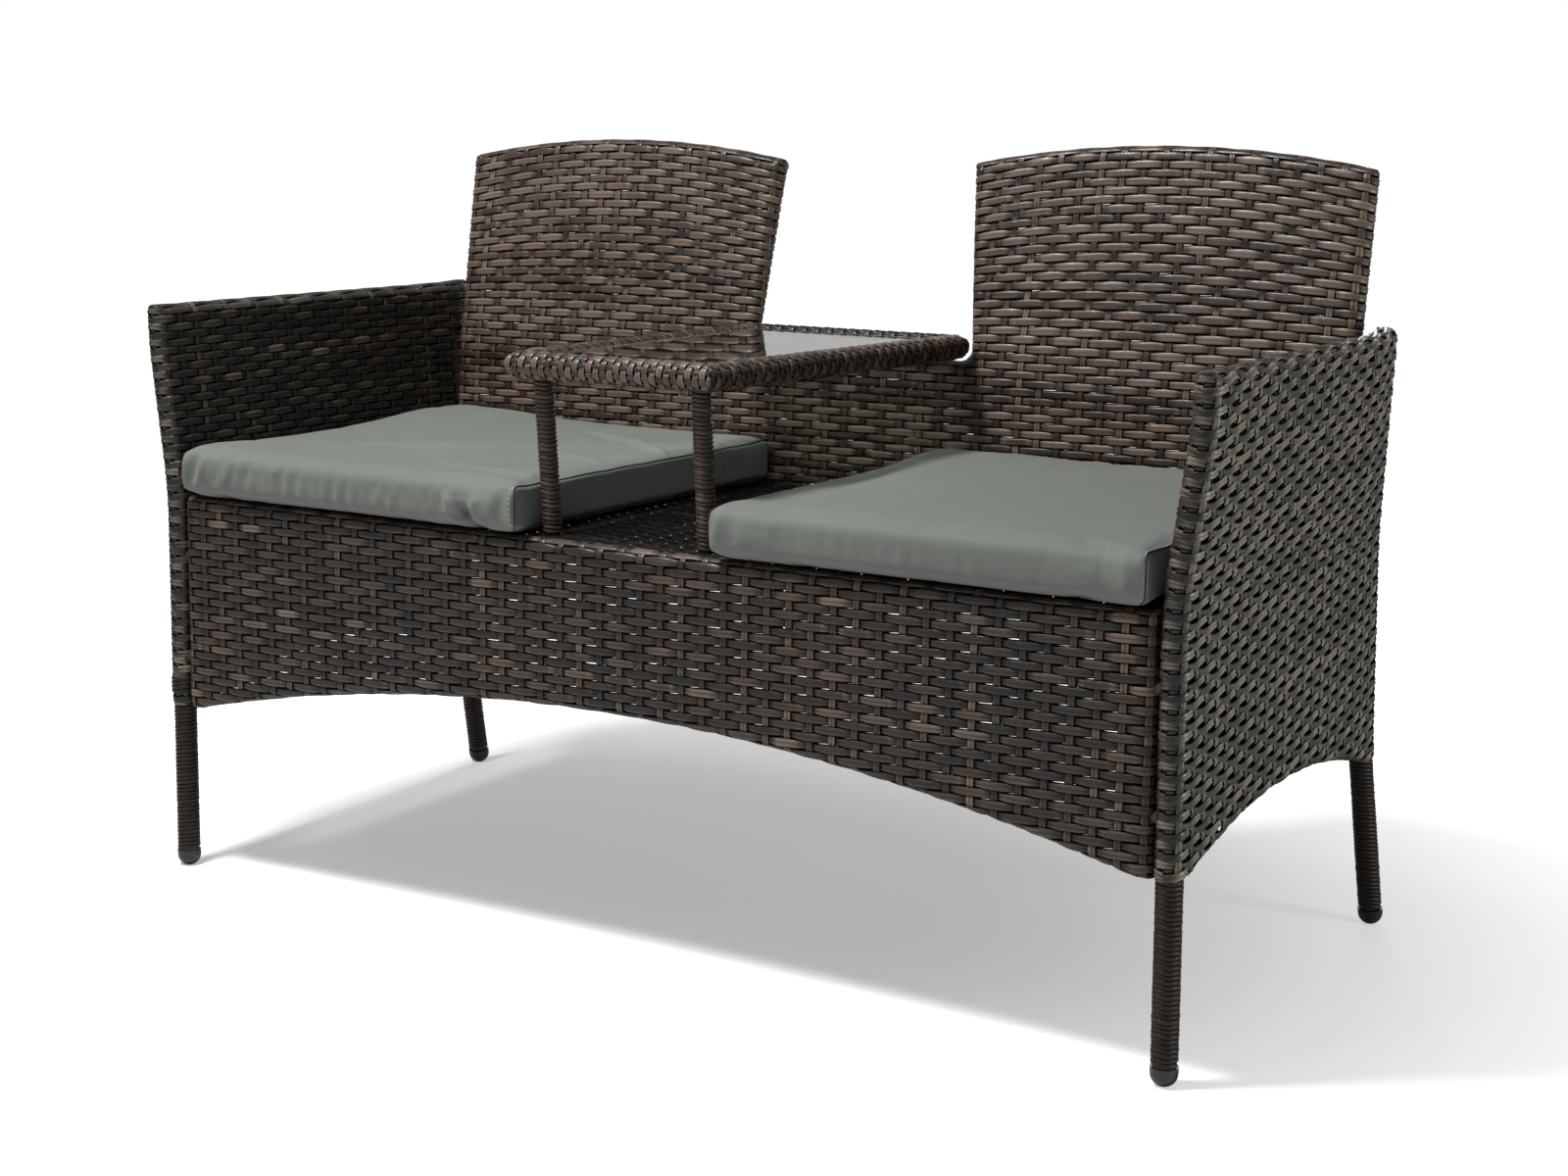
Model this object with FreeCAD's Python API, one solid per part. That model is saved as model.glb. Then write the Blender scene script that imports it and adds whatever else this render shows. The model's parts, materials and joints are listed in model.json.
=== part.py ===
"""Companion seat bench: two woven seats joined by a small tea table.

Millimetres. X runs to the right for someone who looks at the front, Y to the back, Z up.
The origin is on the floor, at the middle of the bench's box.
"""
import FreeCAD, Part
import math
import os

V = FreeCAD.Vector

# Overall sizes
overall_width = 1240.0
overall_depth = 574.0
seat_top_z = 425.0
arm_top_front_z = 632.0
arm_top_bend_z = 635.5
arm_top_rear_z = 638.5
rim_top_z = 609.5
back_corner_z = 794.0
back_crown_z = 815.0

# Tubes and rods of the welded frames
arm_tube_d = 22.0
seat_tube_d = 19.0
back_tube_d = 19.0
rim_tube_d = 19.0
leg_tube_d = 16.0
cross_tube_d = 16.0
rod_d = 10.0
tube_wall = 1.2
weld_proud = 0.03
plate_t = 3.0

# Wicker: strand build-up on each tube, and the woven panels between tubes
arm_wrap_t = 1.5
seat_wrap_t = 1.5
back_wrap_t = 2.0
rim_wrap_t = 4.0
leg_wrap_t = 2.0
rod_wrap_t = 1.5
panel_t = 4.0
panel_recess = 0.6
wrap_gap = 0.2
butt_gap = 0.3

# Arm frames: plan places and bends
arm_flare = 20.5
front_post_setback = 22.0
front_foot_inset = 27.0
flare_start_z = 430.0
flare_end_z = 585.0
rail_bend_setback = 119.0
rear_post_top_inset = 21.5
rear_post_top_setback = 57.0
rear_post_seat_inset = 28.5
rear_post_seat_setback = 56.0
rear_knee_inset = 22.0
rear_knee_setback = 56.0
rear_knee_z = 205.0
rear_foot_inset = 13.5
flare_bend_r = 500.0
rail_bend_r = 65.0
seat_bend_r = 600.0
knee_bend_r = 250.0
low_bulge = 2.5
side_end_z = 188.0
side_arch_z = 226.0
arm_seat_rail_z = 398.0

# Foot caps
cap_r = 13.0
cap_flat = 0.8
cap_skirt = 6.0
cap_plug_l = 22.0

# Seat frame and apron
apron_inset = 54.0
apron_setback = 13.0
apron_end_z = 188.0
apron_arch_z = 258.0
seat_corner_r = 14.0
outer_cross_x = 330.0
apron_rod_x = 190.0
cross_drop = 2.0

# Back
back_low_inset = 43.0
back_mid_inset = 42.0
back_top_inset = 44.0
back_gap_top = 124.5
back_gap_low = 145.0
back_low_setback = 79.0
back_bend_setback = 71.0
back_bend_z = 560.0
back_mid_z = 620.0
back_top_setback = 34.0
back_bend_r = 300.0
back_notch_r = 24.0
back_side_bend_r = 900.0
crown_share = 0.9
centre_drop = 5.0
back_bar_z = 640.0

# Tea table
rim_front_half = 123.5
rim_rear_half = 145.0
rim_front_setback = 5.0
rim_rear_setback = 81.0
table_foot_x = 93.0
table_foot_setback = 46.0
table_leg_top_x = 93.5
table_leg_top_setback = 32.5
corner_plate = 34.0
strap_half = 70.0
strap_lap = 9.0
strap_bolt_x = 50.0
tab_w = 16.0
tab_reach = 12.0
tab_ys = (-180.0, -40.0, 100.0)
glass_t = 5.0
glass_edge_gap = 0.7
pad_t = 2.5
pad_r = 5.5
lift_gap = 0.2

# Cushions
left_cushion_inset = 56.0
left_cushion_inner_x = 106.0
right_cushion_inset = 53.0
right_cushion_inner_x = 120.0
cushion_top_z = 481.0
cushion_back_gap = 3.0
cushion_edge_r = 10.0
cover_t = 1.5

# Fasteners
bolt_r = 3.0
bolt_head_r = 5.5
bolt_head_h = 4.0
small_bolt_r = 2.0
small_head_r = 3.8
small_head_h = 2.4
washer_t = 1.2
washer_share = 1.2
socket_share = 0.5
drill_gap = 0.25
insert_wall = 1.6
insert_l = 10.0
plug_l = 18.0
plug_rise = 1.0
bush_r = 7.0
thread_gap = 0.05
seat_bolt_zs = (357.0, 243.0)
back_arm_bolt_zs = (470.0, 585.0)
back_seat_bolt_xs = (-430.0, -190.0, 190.0, 430.0)

# Places counted in from the overall width and depth
front_foot_x = overall_width / 2 - front_foot_inset
rear_post_top_x = overall_width / 2 - rear_post_top_inset
rear_post_seat_x = overall_width / 2 - rear_post_seat_inset
rear_knee_x = overall_width / 2 - rear_knee_inset
rear_foot_x = overall_width / 2 - rear_foot_inset
apron_half = overall_width / 2 - apron_inset
back_half_low = overall_width / 2 - back_low_inset
back_half_mid = overall_width / 2 - back_mid_inset
back_half_top = overall_width / 2 - back_top_inset
front_post_y = front_post_setback - overall_depth / 2
apron_front_y = apron_setback - overall_depth / 2
rim_front_y = rim_front_setback - overall_depth / 2
table_foot_y = table_foot_setback - overall_depth / 2
table_leg_top_y = table_leg_top_setback - overall_depth / 2
rail_bend_y = overall_depth / 2 - rail_bend_setback
rear_post_top_y = overall_depth / 2 - rear_post_top_setback
rear_post_seat_y = overall_depth / 2 - rear_post_seat_setback
rear_knee_y = overall_depth / 2 - rear_knee_setback
back_low_y = overall_depth / 2 - back_low_setback
back_bend_y = overall_depth / 2 - back_bend_setback
back_top_y = overall_depth / 2 - back_top_setback
rim_rear_y = overall_depth / 2 - rim_rear_setback
left_cushion_x = (left_cushion_inset - overall_width / 2, -left_cushion_inner_x)
right_cushion_x = (right_cushion_inner_x, overall_width / 2 - right_cushion_inset)

# Radii and centre lines that follow from the sizes above
arm_r = arm_tube_d / 2
arm_sleeve = arm_r + arm_wrap_t
seat_r = seat_tube_d / 2
seat_sleeve = seat_r + seat_wrap_t
back_r = back_tube_d / 2
back_sleeve = back_r + back_wrap_t
rim_r = rim_tube_d / 2
rim_sleeve = rim_r + rim_wrap_t
leg_r = leg_tube_d / 2
leg_sleeve = leg_r + leg_wrap_t
cross_r = cross_tube_d / 2
rod_r = rod_d / 2
rod_sleeve = rod_r + rod_wrap_t

arm_x = overall_width / 2 - arm_sleeve
post_x = arm_x - arm_flare
rail_front_z = arm_top_front_z - arm_sleeve
rail_bend_z = arm_top_bend_z - arm_sleeve
rail_rear_z = arm_top_rear_z - arm_sleeve
cap_z = cap_r - cap_flat
rear_foot_y = overall_depth / 2 - cap_r
seat_rail_z = seat_top_z - seat_sleeve
seat_rail_x = apron_half - seat_sleeve
seat_front_y = apron_front_y + seat_sleeve
seat_rear_y = back_low_y - back_sleeve - seat_sleeve - butt_gap
cross_z = seat_rail_z - cross_drop
seat_skin_top = seat_top_z - panel_recess
rim_z = rim_top_z - rim_sleeve
rim_front_x = rim_front_half - rim_sleeve
rim_rear_x = rim_rear_half - rim_sleeve
rim_front = rim_front_y + rim_sleeve
rim_rear = rim_rear_y - rim_sleeve
notch_z = rim_z - rim_sleeve - centre_drop - back_sleeve
plate_top_z = rim_z - rim_r + butt_gap
plate_low_z = plate_top_z - plate_t
tab_top_z = rim_z + 2.0
glass_low_z = tab_top_z + pad_t + lift_gap
glass_top_z = glass_low_z + glass_t


def moved_along(point, direction, distance):
    """Give the point that lies a distance along a direction."""
    return point + V(direction).multiply(distance)


def unit(vector):
    """Give a copy of the vector with length one."""
    return V(vector).normalize()


def path(corners):
    """Join straight runs with tangent arcs; each corner is a point and its bend radius."""
    points = [V(*c[0]) for c in corners]
    edges = []
    last = points[0]
    for i in range(1, len(points) - 1):
        here, radius = points[i], corners[i][1]
        back, ahead = unit(points[i - 1] - here), unit(points[i + 1] - here)
        half_turn = (math.pi - back.getAngle(ahead)) / 2
        reach = radius * math.tan(half_turn)
        start, end = moved_along(here, back, reach), moved_along(here, ahead, reach)
        inward = unit(back + ahead)
        middle = moved_along(here, inward, radius / math.cos(half_turn) - radius)
        edges.append(Part.LineSegment(last, start).toShape())
        edges.append(Part.Arc(start, middle, end).toShape())
        last = end
    edges.append(Part.LineSegment(last, points[-1]).toShape())
    return Part.Wire(edges)


def sweep(wire, radius):
    """Sweep a round section along a path that starts with a straight or curved edge."""
    first = wire.Edges[0]
    start = wire.OrderedVertexes[0].Point
    along = first.tangentAt(first.FirstParameter)
    section = Part.Wire(Part.makeCircle(radius, start, along))
    return wire.makePipeShell([section], True, False)


def mitre_ball(before, here, after, radius):
    """Make the ball that rounds a mitre's outer side, with its seam crossing a tube's end squarely."""
    back, ahead = unit(before - here), unit(after - here)
    outward, sideways = unit(-(back + ahead)), unit(back - ahead)
    ball = Part.makeSphere(radius + weld_proud)
    turn = FreeCAD.Rotation(sideways, outward.cross(sideways), outward, "ZXY")
    ball.Placement = FreeCAD.Placement(here, turn)
    return ball


def bent(corners, radius):
    """Sweep a round section along corners; a corner without a bend radius is a rounded mitre."""
    stops = [0] + [i for i in range(1, len(corners) - 1) if corners[i][1] == 0] + [len(corners) - 1]
    runs = [sweep(path(corners[a:b + 1]), radius) for a, b in zip(stops, stops[1:])]
    balls = [mitre_ball(*[V(*corners[j][0]) for j in (i - 1, i, i + 1)], radius) for i in stops[1:-1]]
    return united(runs + balls)


def rod(start, end, radius):
    """Make a round bar between two points."""
    run = V(end) - V(start)
    return Part.makeCylinder(radius, run.Length, V(start), run)


def box(low, high):
    """Make a block between two corners."""
    size = V(*high) - V(*low)
    return Part.makeBox(size.x, size.y, size.z, V(*low))


def united(shapes):
    """Fuse shapes into one solid and merge their split faces."""
    joined = shapes[0]
    for shape in shapes[1:]:
        joined = joined.fuse(shape)
    return joined.removeSplitter()


def carved(shape, cutters):
    """Cut shapes from a shape one after the other."""
    for cutter in cutters:
        shape = shape.cut(cutter)
    return shape


def mirrored(shape):
    """Give the shape's twin on the other side of the bench."""
    return shape.mirror(V(0, 0, 0), V(1, 0, 0))


def along_y(value, low_y, low_value, high_y, high_value):
    """Interpolate in a straight line."""
    share = (value - low_y) / (high_y - low_y)
    return low_value + share * (high_value - low_value)


def front_post_corners():
    """Give the front leg and post's corners from its lower end to the arm rail."""
    return [((front_foot_x, front_post_y, cap_z), 0),
            ((post_x, front_post_y, flare_start_z), flare_bend_r),
            ((arm_x - 1.0, front_post_y, flare_end_z), flare_bend_r * 0.5),
            ((arm_x, front_post_y, rail_front_z), 0)]


def rear_post_corners():
    """Give the rear post and leg's corners from the arm rail down to its lower end."""
    return [((rear_post_top_x, rear_post_top_y, rail_rear_z), 0),
            ((rear_post_seat_x, rear_post_seat_y, flare_start_z), seat_bend_r),
            ((rear_knee_x, rear_knee_y, rear_knee_z), knee_bend_r),
            ((rear_foot_x, rear_foot_y, cap_z), 0)]


def arm_tube(radius):
    """Make the whole bent tube of the right arm: leg, post, rail, post, leg."""
    bend = [((arm_x, rail_bend_y, rail_bend_z), rail_bend_r)]
    return bent(front_post_corners() + bend + rear_post_corners(), radius)


def at_height(corners, z):
    """Give the point of a chain of corners at a height."""
    points = sorted((c[0] for c in corners), key=lambda p: p[2])
    for low, high in zip(points, points[1:]):
        if low[2] <= z <= high[2]:
            return V(along_y(z, low[2], low[0], high[2], high[0]),
                     along_y(z, low[2], low[1], high[2], high[1]), z)
    return V(*(points[0] if z < points[0][2] else points[-1]))


def panel_line(z):
    """Give the plan line of the arm's woven panel at a height: front post, bend, rear post."""
    front = at_height(front_post_corners(), z)
    rear = at_height(rear_post_corners(), z)
    share = max(0.0, (front.x - post_x) / arm_flare) if z > flare_start_z else 0.0
    chord_x = along_y(rail_bend_y, front.y, front.x, rear.y, rear.x)
    top_chord = along_y(rail_bend_y, front_post_y, arm_x, rear_post_top_y, rear_post_top_x)
    bulge = low_bulge + share * (arm_x - top_chord - low_bulge)
    return front, V(chord_x + bulge, rail_bend_y, z), rear


def panel_x(y, z):
    """Give the arm panel's middle x at a place."""
    front, bend, rear = panel_line(z)
    if y <= bend.y:
        return along_y(y, front.y, front.x, bend.y, bend.x)
    return along_y(y, bend.y, bend.x, rear.y, rear.x)


def offset_line(points, distance):
    """Shift a plan line of three points outwards."""
    a, b, c = points
    first, second = unit(b - a), unit(c - b)
    out_1, out_2 = V(first.y, -first.x, 0), V(second.y, -second.x, 0)
    corner = (out_1 + out_2).multiply(distance / (1 + out_1.dot(out_2)))
    return a + out_1.multiply(distance), b + corner, c + out_2.multiply(distance)


def panel_section(z, outer, inner):
    """Give the closed plan outline of the arm's woven panel at a height."""
    line = panel_line(z)
    out_a, out_b, out_c = offset_line(line, outer)
    in_a, in_b, in_c = offset_line(line, inner)
    outside = path([(out_a, 0), (out_b, rail_bend_r + outer), (out_c, 0)])
    inside = path([(in_c, 0), (in_b, rail_bend_r + inner), (in_a, 0)])
    edges = outside.Edges + [Part.LineSegment(out_c, in_c).toShape()]
    edges += inside.Edges + [Part.LineSegment(in_a, out_a).toShape()]
    return Part.Wire(edges)


def arm_arch(rise):
    """Give the arched lower edge of the arm panel, raised by a distance."""
    ends_z, crown_z = side_end_z + rise, side_arch_z + rise
    front_y = front_post_y + arm_r
    rear_y = at_height(rear_post_corners(), ends_z).y - arm_r
    middle_y = (front_y + rear_y) / 2
    return [V(panel_x(y, z), y, z)
            for y, z in ((front_y, ends_z), (middle_y, crown_z), (rear_y, ends_z))]


def arc_rod(points, radius):
    """Sweep a round section along an arc through three points."""
    return sweep(Part.Wire(Part.Arc(*points).toShape()), radius)


def arm_seat_rail(radius):
    """Make the arm's cross tube at seat height."""
    front = at_height(front_post_corners(), arm_seat_rail_z)
    rear = at_height(rear_post_corners(), arm_seat_rail_z)
    return rod(front - V(1, 0, 0), rear - V(1, 0, 0), radius)


def arm_frame():
    """Make the right arm's welded frame: bent tube, seat rail and arched rod."""
    bore = arm_tube(arm_r - tube_wall)
    outer = united([arm_tube(arm_r), arm_seat_rail(cross_r)])
    hollow = carved(outer, [bore, arm_seat_rail(cross_r - tube_wall)])
    arch = arc_rod(arm_arch(rod_sleeve), rod_r).cut(bore)
    low_cut = box((0, -overall_depth, -1), (overall_width, overall_depth, cap_z + cap_skirt))
    return united([hollow, arch]).cut(low_cut)


def arm_weave():
    """Make the right arm's woven skin: sleeves on the tubes and the panel between them."""
    outer = arm_sleeve - panel_recess
    heights = [side_end_z - 4, rear_knee_z, flare_start_z, flare_end_z, rail_front_z]
    sections = [panel_section(z, outer, outer - panel_t) for z in heights]
    panel = Part.makeLoft(sections, True, True)
    arch = arm_arch(rod_sleeve)
    arch_edge = Part.Arc(*[V(0, p.y, p.z) for p in arch]).toShape()
    low_z = side_end_z - 20
    ahead, behind = -overall_depth, overall_depth
    under = [V(0, arch[2].y, arch[2].z), V(0, behind, arch[2].z), V(0, behind, low_z),
             V(0, ahead, low_z), V(0, ahead, arch[0].z), V(0, arch[0].y, arch[0].z)]
    lines = [Part.LineSegment(a, b).toShape() for a, b in zip(under, under[1:])]
    notch = Part.Face(Part.Wire([arch_edge] + lines)).extrude(V(overall_width, 0, 0))
    skin = panel.cut(notch)
    sleeve = arm_tube(arm_sleeve).cut(box((0, ahead, -10), (overall_width, behind, side_end_z)))
    arch_sleeve = arc_rod(arch, rod_sleeve)
    whole = united([sleeve, skin, arch_sleeve])
    inner = [arm_tube(arm_r + wrap_gap), arc_rod(arch, rod_r + wrap_gap),
             arm_seat_rail(cross_r + wrap_gap)]
    return carved(whole, inner)


def leg_wrap(rear):
    """Make the strand wrap on one lower leg of the right arm."""
    sleeve = arm_tube(arm_sleeve).cut(arm_tube(arm_r + wrap_gap))
    low = cap_z + cap_skirt + butt_gap
    side = (0, overall_depth) if rear else (-overall_depth, 0)
    keep = box((0, side[0], low), (overall_width, side[1], side_end_z - butt_gap))
    return sleeve.common(keep)


def foot_cap(foot, knee):
    """Make a rounded foot cap with a plug that goes up the leg tube."""
    axis = unit(knee - foot)
    ball = Part.makeSphere(cap_r, foot)
    skirt = Part.makeCylinder(cap_r, cap_skirt, foot, axis)
    plug = Part.makeCylinder(arm_r - tube_wall - wrap_gap, cap_plug_l, foot, axis)
    cap = united([ball.cut(Part.makeCylinder(2 * cap_r, 2 * cap_r, foot, axis)), skirt])
    far_x, far_y = overall_width, overall_depth
    cap = cap.cut(box((-far_x, -far_y, cap_z + cap_skirt - wrap_gap), (far_x, far_y, 4 * cap_r)))
    cap = united([cap, plug])
    return cap.cut(box((-far_x, -far_y, -4 * cap_r), (far_x, far_y, 0)))


def foot_caps():
    """Make the four foot caps."""
    front = V(front_foot_x, front_post_y, cap_z)
    front_knee = V(post_x, front_post_y, flare_start_z)
    rear = V(rear_foot_x, rear_foot_y, cap_z)
    rear_knee = V(rear_knee_x, rear_knee_y, rear_knee_z)
    right = [foot_cap(front, front_knee), foot_cap(rear, rear_knee)]
    return right + [mirrored(cap) for cap in right]


def seat_loop():
    """Give the right half of the seat frame's perimeter, front middle to rear middle."""
    return path([((0, seat_front_y, seat_rail_z), 0),
                 ((seat_rail_x, seat_front_y, seat_rail_z), seat_corner_r),
                 ((seat_rail_x, seat_rear_y, seat_rail_z), seat_corner_r),
                 ((0, seat_rear_y, seat_rail_z), 0)])


def both_sides(shape):
    """Fuse a half with its twin."""
    return united([shape, mirrored(shape)])


def apron_arch():
    """Give three points of the apron's arched rod."""
    y = apron_front_y + rod_sleeve
    return [V(-seat_rail_x, y, apron_end_z + rod_sleeve), V(0, y, apron_arch_z + rod_sleeve),
            V(seat_rail_x, y, apron_end_z + rod_sleeve)]


def apron_upright(side, radius, low_z):
    """Make the end tube of the apron on one side."""
    x = side * seat_rail_x
    return rod((x, seat_front_y, low_z), (x, seat_front_y, seat_rail_z), radius)


def cross_rails(radius):
    """Make the seat's cross tubes from the front rail to the rear rail."""
    xs = (-outer_cross_x, -table_foot_x, table_foot_x, outer_cross_x)
    return [rod((x, seat_front_y, cross_z), (x, seat_rear_y, cross_z), radius) for x in xs]


def seat_frame():
    """Make the welded seat frame with the apron's uprights and arched rod."""
    loop = both_sides(sweep(seat_loop(), seat_r))
    loop_bore = both_sides(sweep(seat_loop(), seat_r - tube_wall))
    low_z = apron_end_z + seat_sleeve
    uprights = [apron_upright(s, seat_r, low_z) for s in (-1, 1)]
    upright_bores = [apron_upright(s, seat_r - tube_wall, low_z - 1) for s in (-1, 1)]
    outer = united([loop] + uprights + cross_rails(cross_r))
    frame = outer.cut([loop_bore] + upright_bores + cross_rails(cross_r - tube_wall))
    arch_points = apron_arch()
    arch = arc_rod(arch_points, rod_r)
    arch = arch.cut([apron_upright(s, seat_r - tube_wall, low_z - 1) for s in (-1, 1)])
    y = arch_points[0].y
    short_rods = [rod((x, y, apron_arch_z), (x, y, seat_rail_z), rod_r)
                  for x in (-apron_rod_x, apron_rod_x)]
    short_rods = [piece.cut(loop_bore) for piece in short_rods]
    return united([frame, arch] + short_rods)


def seat_weave():
    """Make the woven seat: sleeves round the perimeter and the skin over the cross tubes."""
    loop = both_sides(sweep(seat_loop(), seat_sleeve))
    skin = box((-seat_rail_x, seat_front_y, seat_skin_top - panel_t),
               (seat_rail_x, seat_rear_y, seat_skin_top))
    bore = both_sides(sweep(seat_loop(), seat_r + wrap_gap))
    cutters = [bore] + cross_rails(cross_r + wrap_gap)
    cutters += [apron_upright(s, seat_sleeve + wrap_gap, apron_end_z) for s in (-1, 1)]
    y = apron_front_y + rod_sleeve
    cutters += [rod((x, y, apron_arch_z), (x, y, seat_rail_z), rod_r + wrap_gap)
                for x in (-apron_rod_x, apron_rod_x)]
    return carved(united([loop, skin]), cutters)


def apron_weave():
    """Make the woven front apron with its arched lower edge."""
    arch = apron_arch()
    front = apron_front_y + panel_recess
    top_z = seat_rail_z
    arc = Part.Arc(*[V(p.x, front, p.z) for p in arch]).toShape()
    corners = [V(seat_rail_x, front, arch[2].z), V(seat_rail_x, front, top_z),
               V(-seat_rail_x, front, top_z), V(-seat_rail_x, front, arch[0].z)]
    lines = [Part.LineSegment(a, b).toShape() for a, b in zip(corners, corners[1:])]
    skin = Part.Face(Part.Wire([arc] + lines)).extrude(V(0, panel_t, 0))
    low_z = apron_end_z + seat_sleeve
    sleeves = [apron_upright(s, seat_sleeve, low_z) for s in (-1, 1)]
    ends = [Part.makeSphere(seat_sleeve, V(s * seat_rail_x, seat_front_y, low_z)) for s in (-1, 1)]
    whole = united([skin, arc_rod(arch, rod_sleeve)] + sleeves + ends)
    y = arch[0].y
    cutters = [apron_upright(s, seat_r + wrap_gap, low_z - wrap_gap) for s in (-1, 1)]
    cutters += [arc_rod(arch, rod_r + wrap_gap)]
    cutters += [rod((x, y, apron_arch_z), (x, y, seat_rail_z), rod_r + wrap_gap)
                for x in (-apron_rod_x, apron_rod_x)]
    cutters += [both_sides(sweep(seat_loop(), seat_sleeve + wrap_gap))]
    return carved(whole, cutters)


def back_y(z):
    """Give the back's middle y at a height."""
    if z <= back_bend_z:
        return along_y(z, seat_rail_z, back_low_y, back_bend_z, back_bend_y)
    return along_y(z, back_bend_z, back_bend_y, back_corner_z, back_top_y)


def back_stile_x(z):
    """Give the middle x of the back's outer stile at a height."""
    if z <= back_mid_z:
        return along_y(z, seat_rail_z, back_half_low, back_mid_z, back_half_mid) - back_sleeve
    return along_y(z, back_mid_z, back_half_mid, back_corner_z, back_half_top) - back_sleeve


def back_corners():
    """Give the corners of the right half of the back's bent tube as x, z and bend radius."""
    corner_z = back_corner_z - back_sleeve
    crown_z = back_crown_z - back_sleeve
    outer_x = back_stile_x(corner_z)
    inner_x = back_gap_top + back_sleeve
    low_x = along_y(notch_z, back_corner_z, inner_x, back_mid_z, back_gap_low + back_sleeve)
    half = (outer_x - inner_x) / 2
    sag = crown_z - corner_z
    crown_r = (half * half + sag * sag) / (2 * sag)
    lean = math.asin(half / crown_r)
    shoulder = crown_r * math.tan(lean / 2) * math.cos(lean)
    return [(0, seat_rail_z, 0), (back_stile_x(seat_rail_z), seat_rail_z, 0),
            (back_stile_x(back_bend_z), back_bend_z, back_bend_r),
            (back_stile_x(back_mid_z), back_mid_z, back_side_bend_r), (outer_x, corner_z, 0),
            (outer_x - shoulder, crown_z, crown_r * crown_share),
            (inner_x + shoulder, crown_z, crown_r * crown_share), (inner_x, corner_z, 0),
            (low_x, notch_z, back_notch_r), (0, notch_z, 0)]


def back_tube(radius):
    """Make the back's whole bent tube."""
    return both_sides(bent([((x, back_y(z), z), r) for x, z, r in back_corners()], radius))


def back_bars(radius):
    """Make the bars across the two backrests."""
    inner_x = along_y(back_bar_z, back_corner_z, back_gap_top, back_mid_z, back_gap_low)
    y = back_y(back_bar_z)
    bar = rod((inner_x + back_sleeve, y, back_bar_z), (back_stile_x(back_bar_z), y, back_bar_z), radius)
    return [bar, mirrored(bar)]


def back_frame():
    """Make the welded back frame."""
    bore = back_tube(back_r - tube_wall)
    bars = [bar.cut(bore) for bar in back_bars(rod_r)]
    return united([back_tube(back_r).cut(bore)] + bars)


def back_skin_profile():
    """Give the side view outline of the back's woven skin, which bends once."""
    spots = [V(0, back_y(z), z) for z in (seat_rail_z, back_bend_z, back_crown_z)]
    low, high = unit(spots[1] - spots[0]), unit(spots[2] - spots[1])
    out_low, out_high = V(0, -low.z, low.y), V(0, -high.z, high.y)
    out_bend = (out_low + out_high).multiply(1 / (1 + out_low.dot(out_high)))
    outs = [out_low, out_bend, out_high]
    outer, inner = back_sleeve - panel_recess, back_sleeve - panel_recess - panel_t
    front = [moved_along(p, o, outer) for p, o in zip(spots, outs)]
    rear = [moved_along(p, o, inner) for p, o in zip(spots, outs)]
    return front + rear[::-1]


def outline_edges(corners):
    """Give the edges of a flat outline through corners; corners without a radius stay sharp."""
    stops = [0] + [i for i in range(1, len(corners) - 1) if corners[i][1] == 0] + [len(corners) - 1]
    return [e for a, b in zip(stops, stops[1:]) for e in path(corners[a:b + 1]).Edges]


def back_weave():
    """Make the woven back: sleeves on the bent tube and the skin in front."""
    points = back_skin_profile()
    band = Part.Face(Part.makePolygon(points + points[:1])).extrude(V(overall_width / 2, 0, 0))
    edges = outline_edges([((x, 0, z), r) for x, z, r in back_corners() if z != back_bend_z])
    edges.append(Part.LineSegment(V(0, 0, notch_z), V(0, 0, seat_rail_z)).toShape())
    half = Part.Face(Part.Wire(edges)).extrude(V(0, overall_depth, 0)).common(band)
    whole = united([both_sides(half), back_tube(back_sleeve)])
    return carved(whole, back_bars(rod_r + wrap_gap) + [back_tube(back_r + wrap_gap)])


def rim_tube(radius):
    """Make the table rim's tube."""
    half = [((0, rim_front, rim_z), 0), ((rim_front_x, rim_front, rim_z), 0),
            ((rim_rear_x, rim_rear, rim_z), 0), ((0, rim_rear, rim_z), 0)]
    return both_sides(bent(half, radius))


def rim_x(y):
    """Give the x of the right side tube of the rim, which widens to the back."""
    return along_y(y, rim_front, rim_front_x, rim_rear, rim_rear_x)


def strap_y():
    """Give the y of the table's rear strap, over the back's centre rail."""
    return back_y(notch_z)


def table_plates(grow):
    """Make the table frame's corner plates and rear strap, grown by a clearance."""
    low, high = plate_low_z - grow, plate_top_z + grow
    inner, outer = rim_front_x - corner_plate - grow, rim_front_x + grow
    corner = box((inner, rim_front - grow, low), (outer, rim_front + corner_plate + grow, high))
    strap = box((-strap_half - grow, rim_rear - 2.0 - grow, low),
                (strap_half + grow, strap_y() + strap_lap + grow, high))
    return [corner, mirrored(corner), strap]


def glass_tabs(grow):
    """Make the small tabs that carry the glass pads, grown by a clearance."""
    tabs = []
    for y in tab_ys:
        inner = rim_x(y) - rim_sleeve - tab_reach - grow
        tab = box((inner, y - tab_w / 2 - grow, tab_top_z - plate_t / 2 - grow),
                  (rim_x(y) - rim_r + 1, y + tab_w / 2 + grow, tab_top_z + grow))
        tabs += [tab, mirrored(tab)]
    return tabs


def table_frame():
    """Make the welded table frame: rim tube, corner plates, rear strap and glass tabs."""
    bore = rim_tube(rim_r - tube_wall)
    extras = [piece.cut(bore) for piece in table_plates(0) + glass_tabs(0)]
    return united([rim_tube(rim_r).cut(bore)] + extras)


def table_leg_run(side):
    """Give the lower and upper end of a table leg's centre line."""
    return (V(side * table_foot_x, table_foot_y, seat_top_z + butt_gap),
            V(side * table_leg_top_x, table_leg_top_y, plate_low_z - butt_gap / 2))


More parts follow.
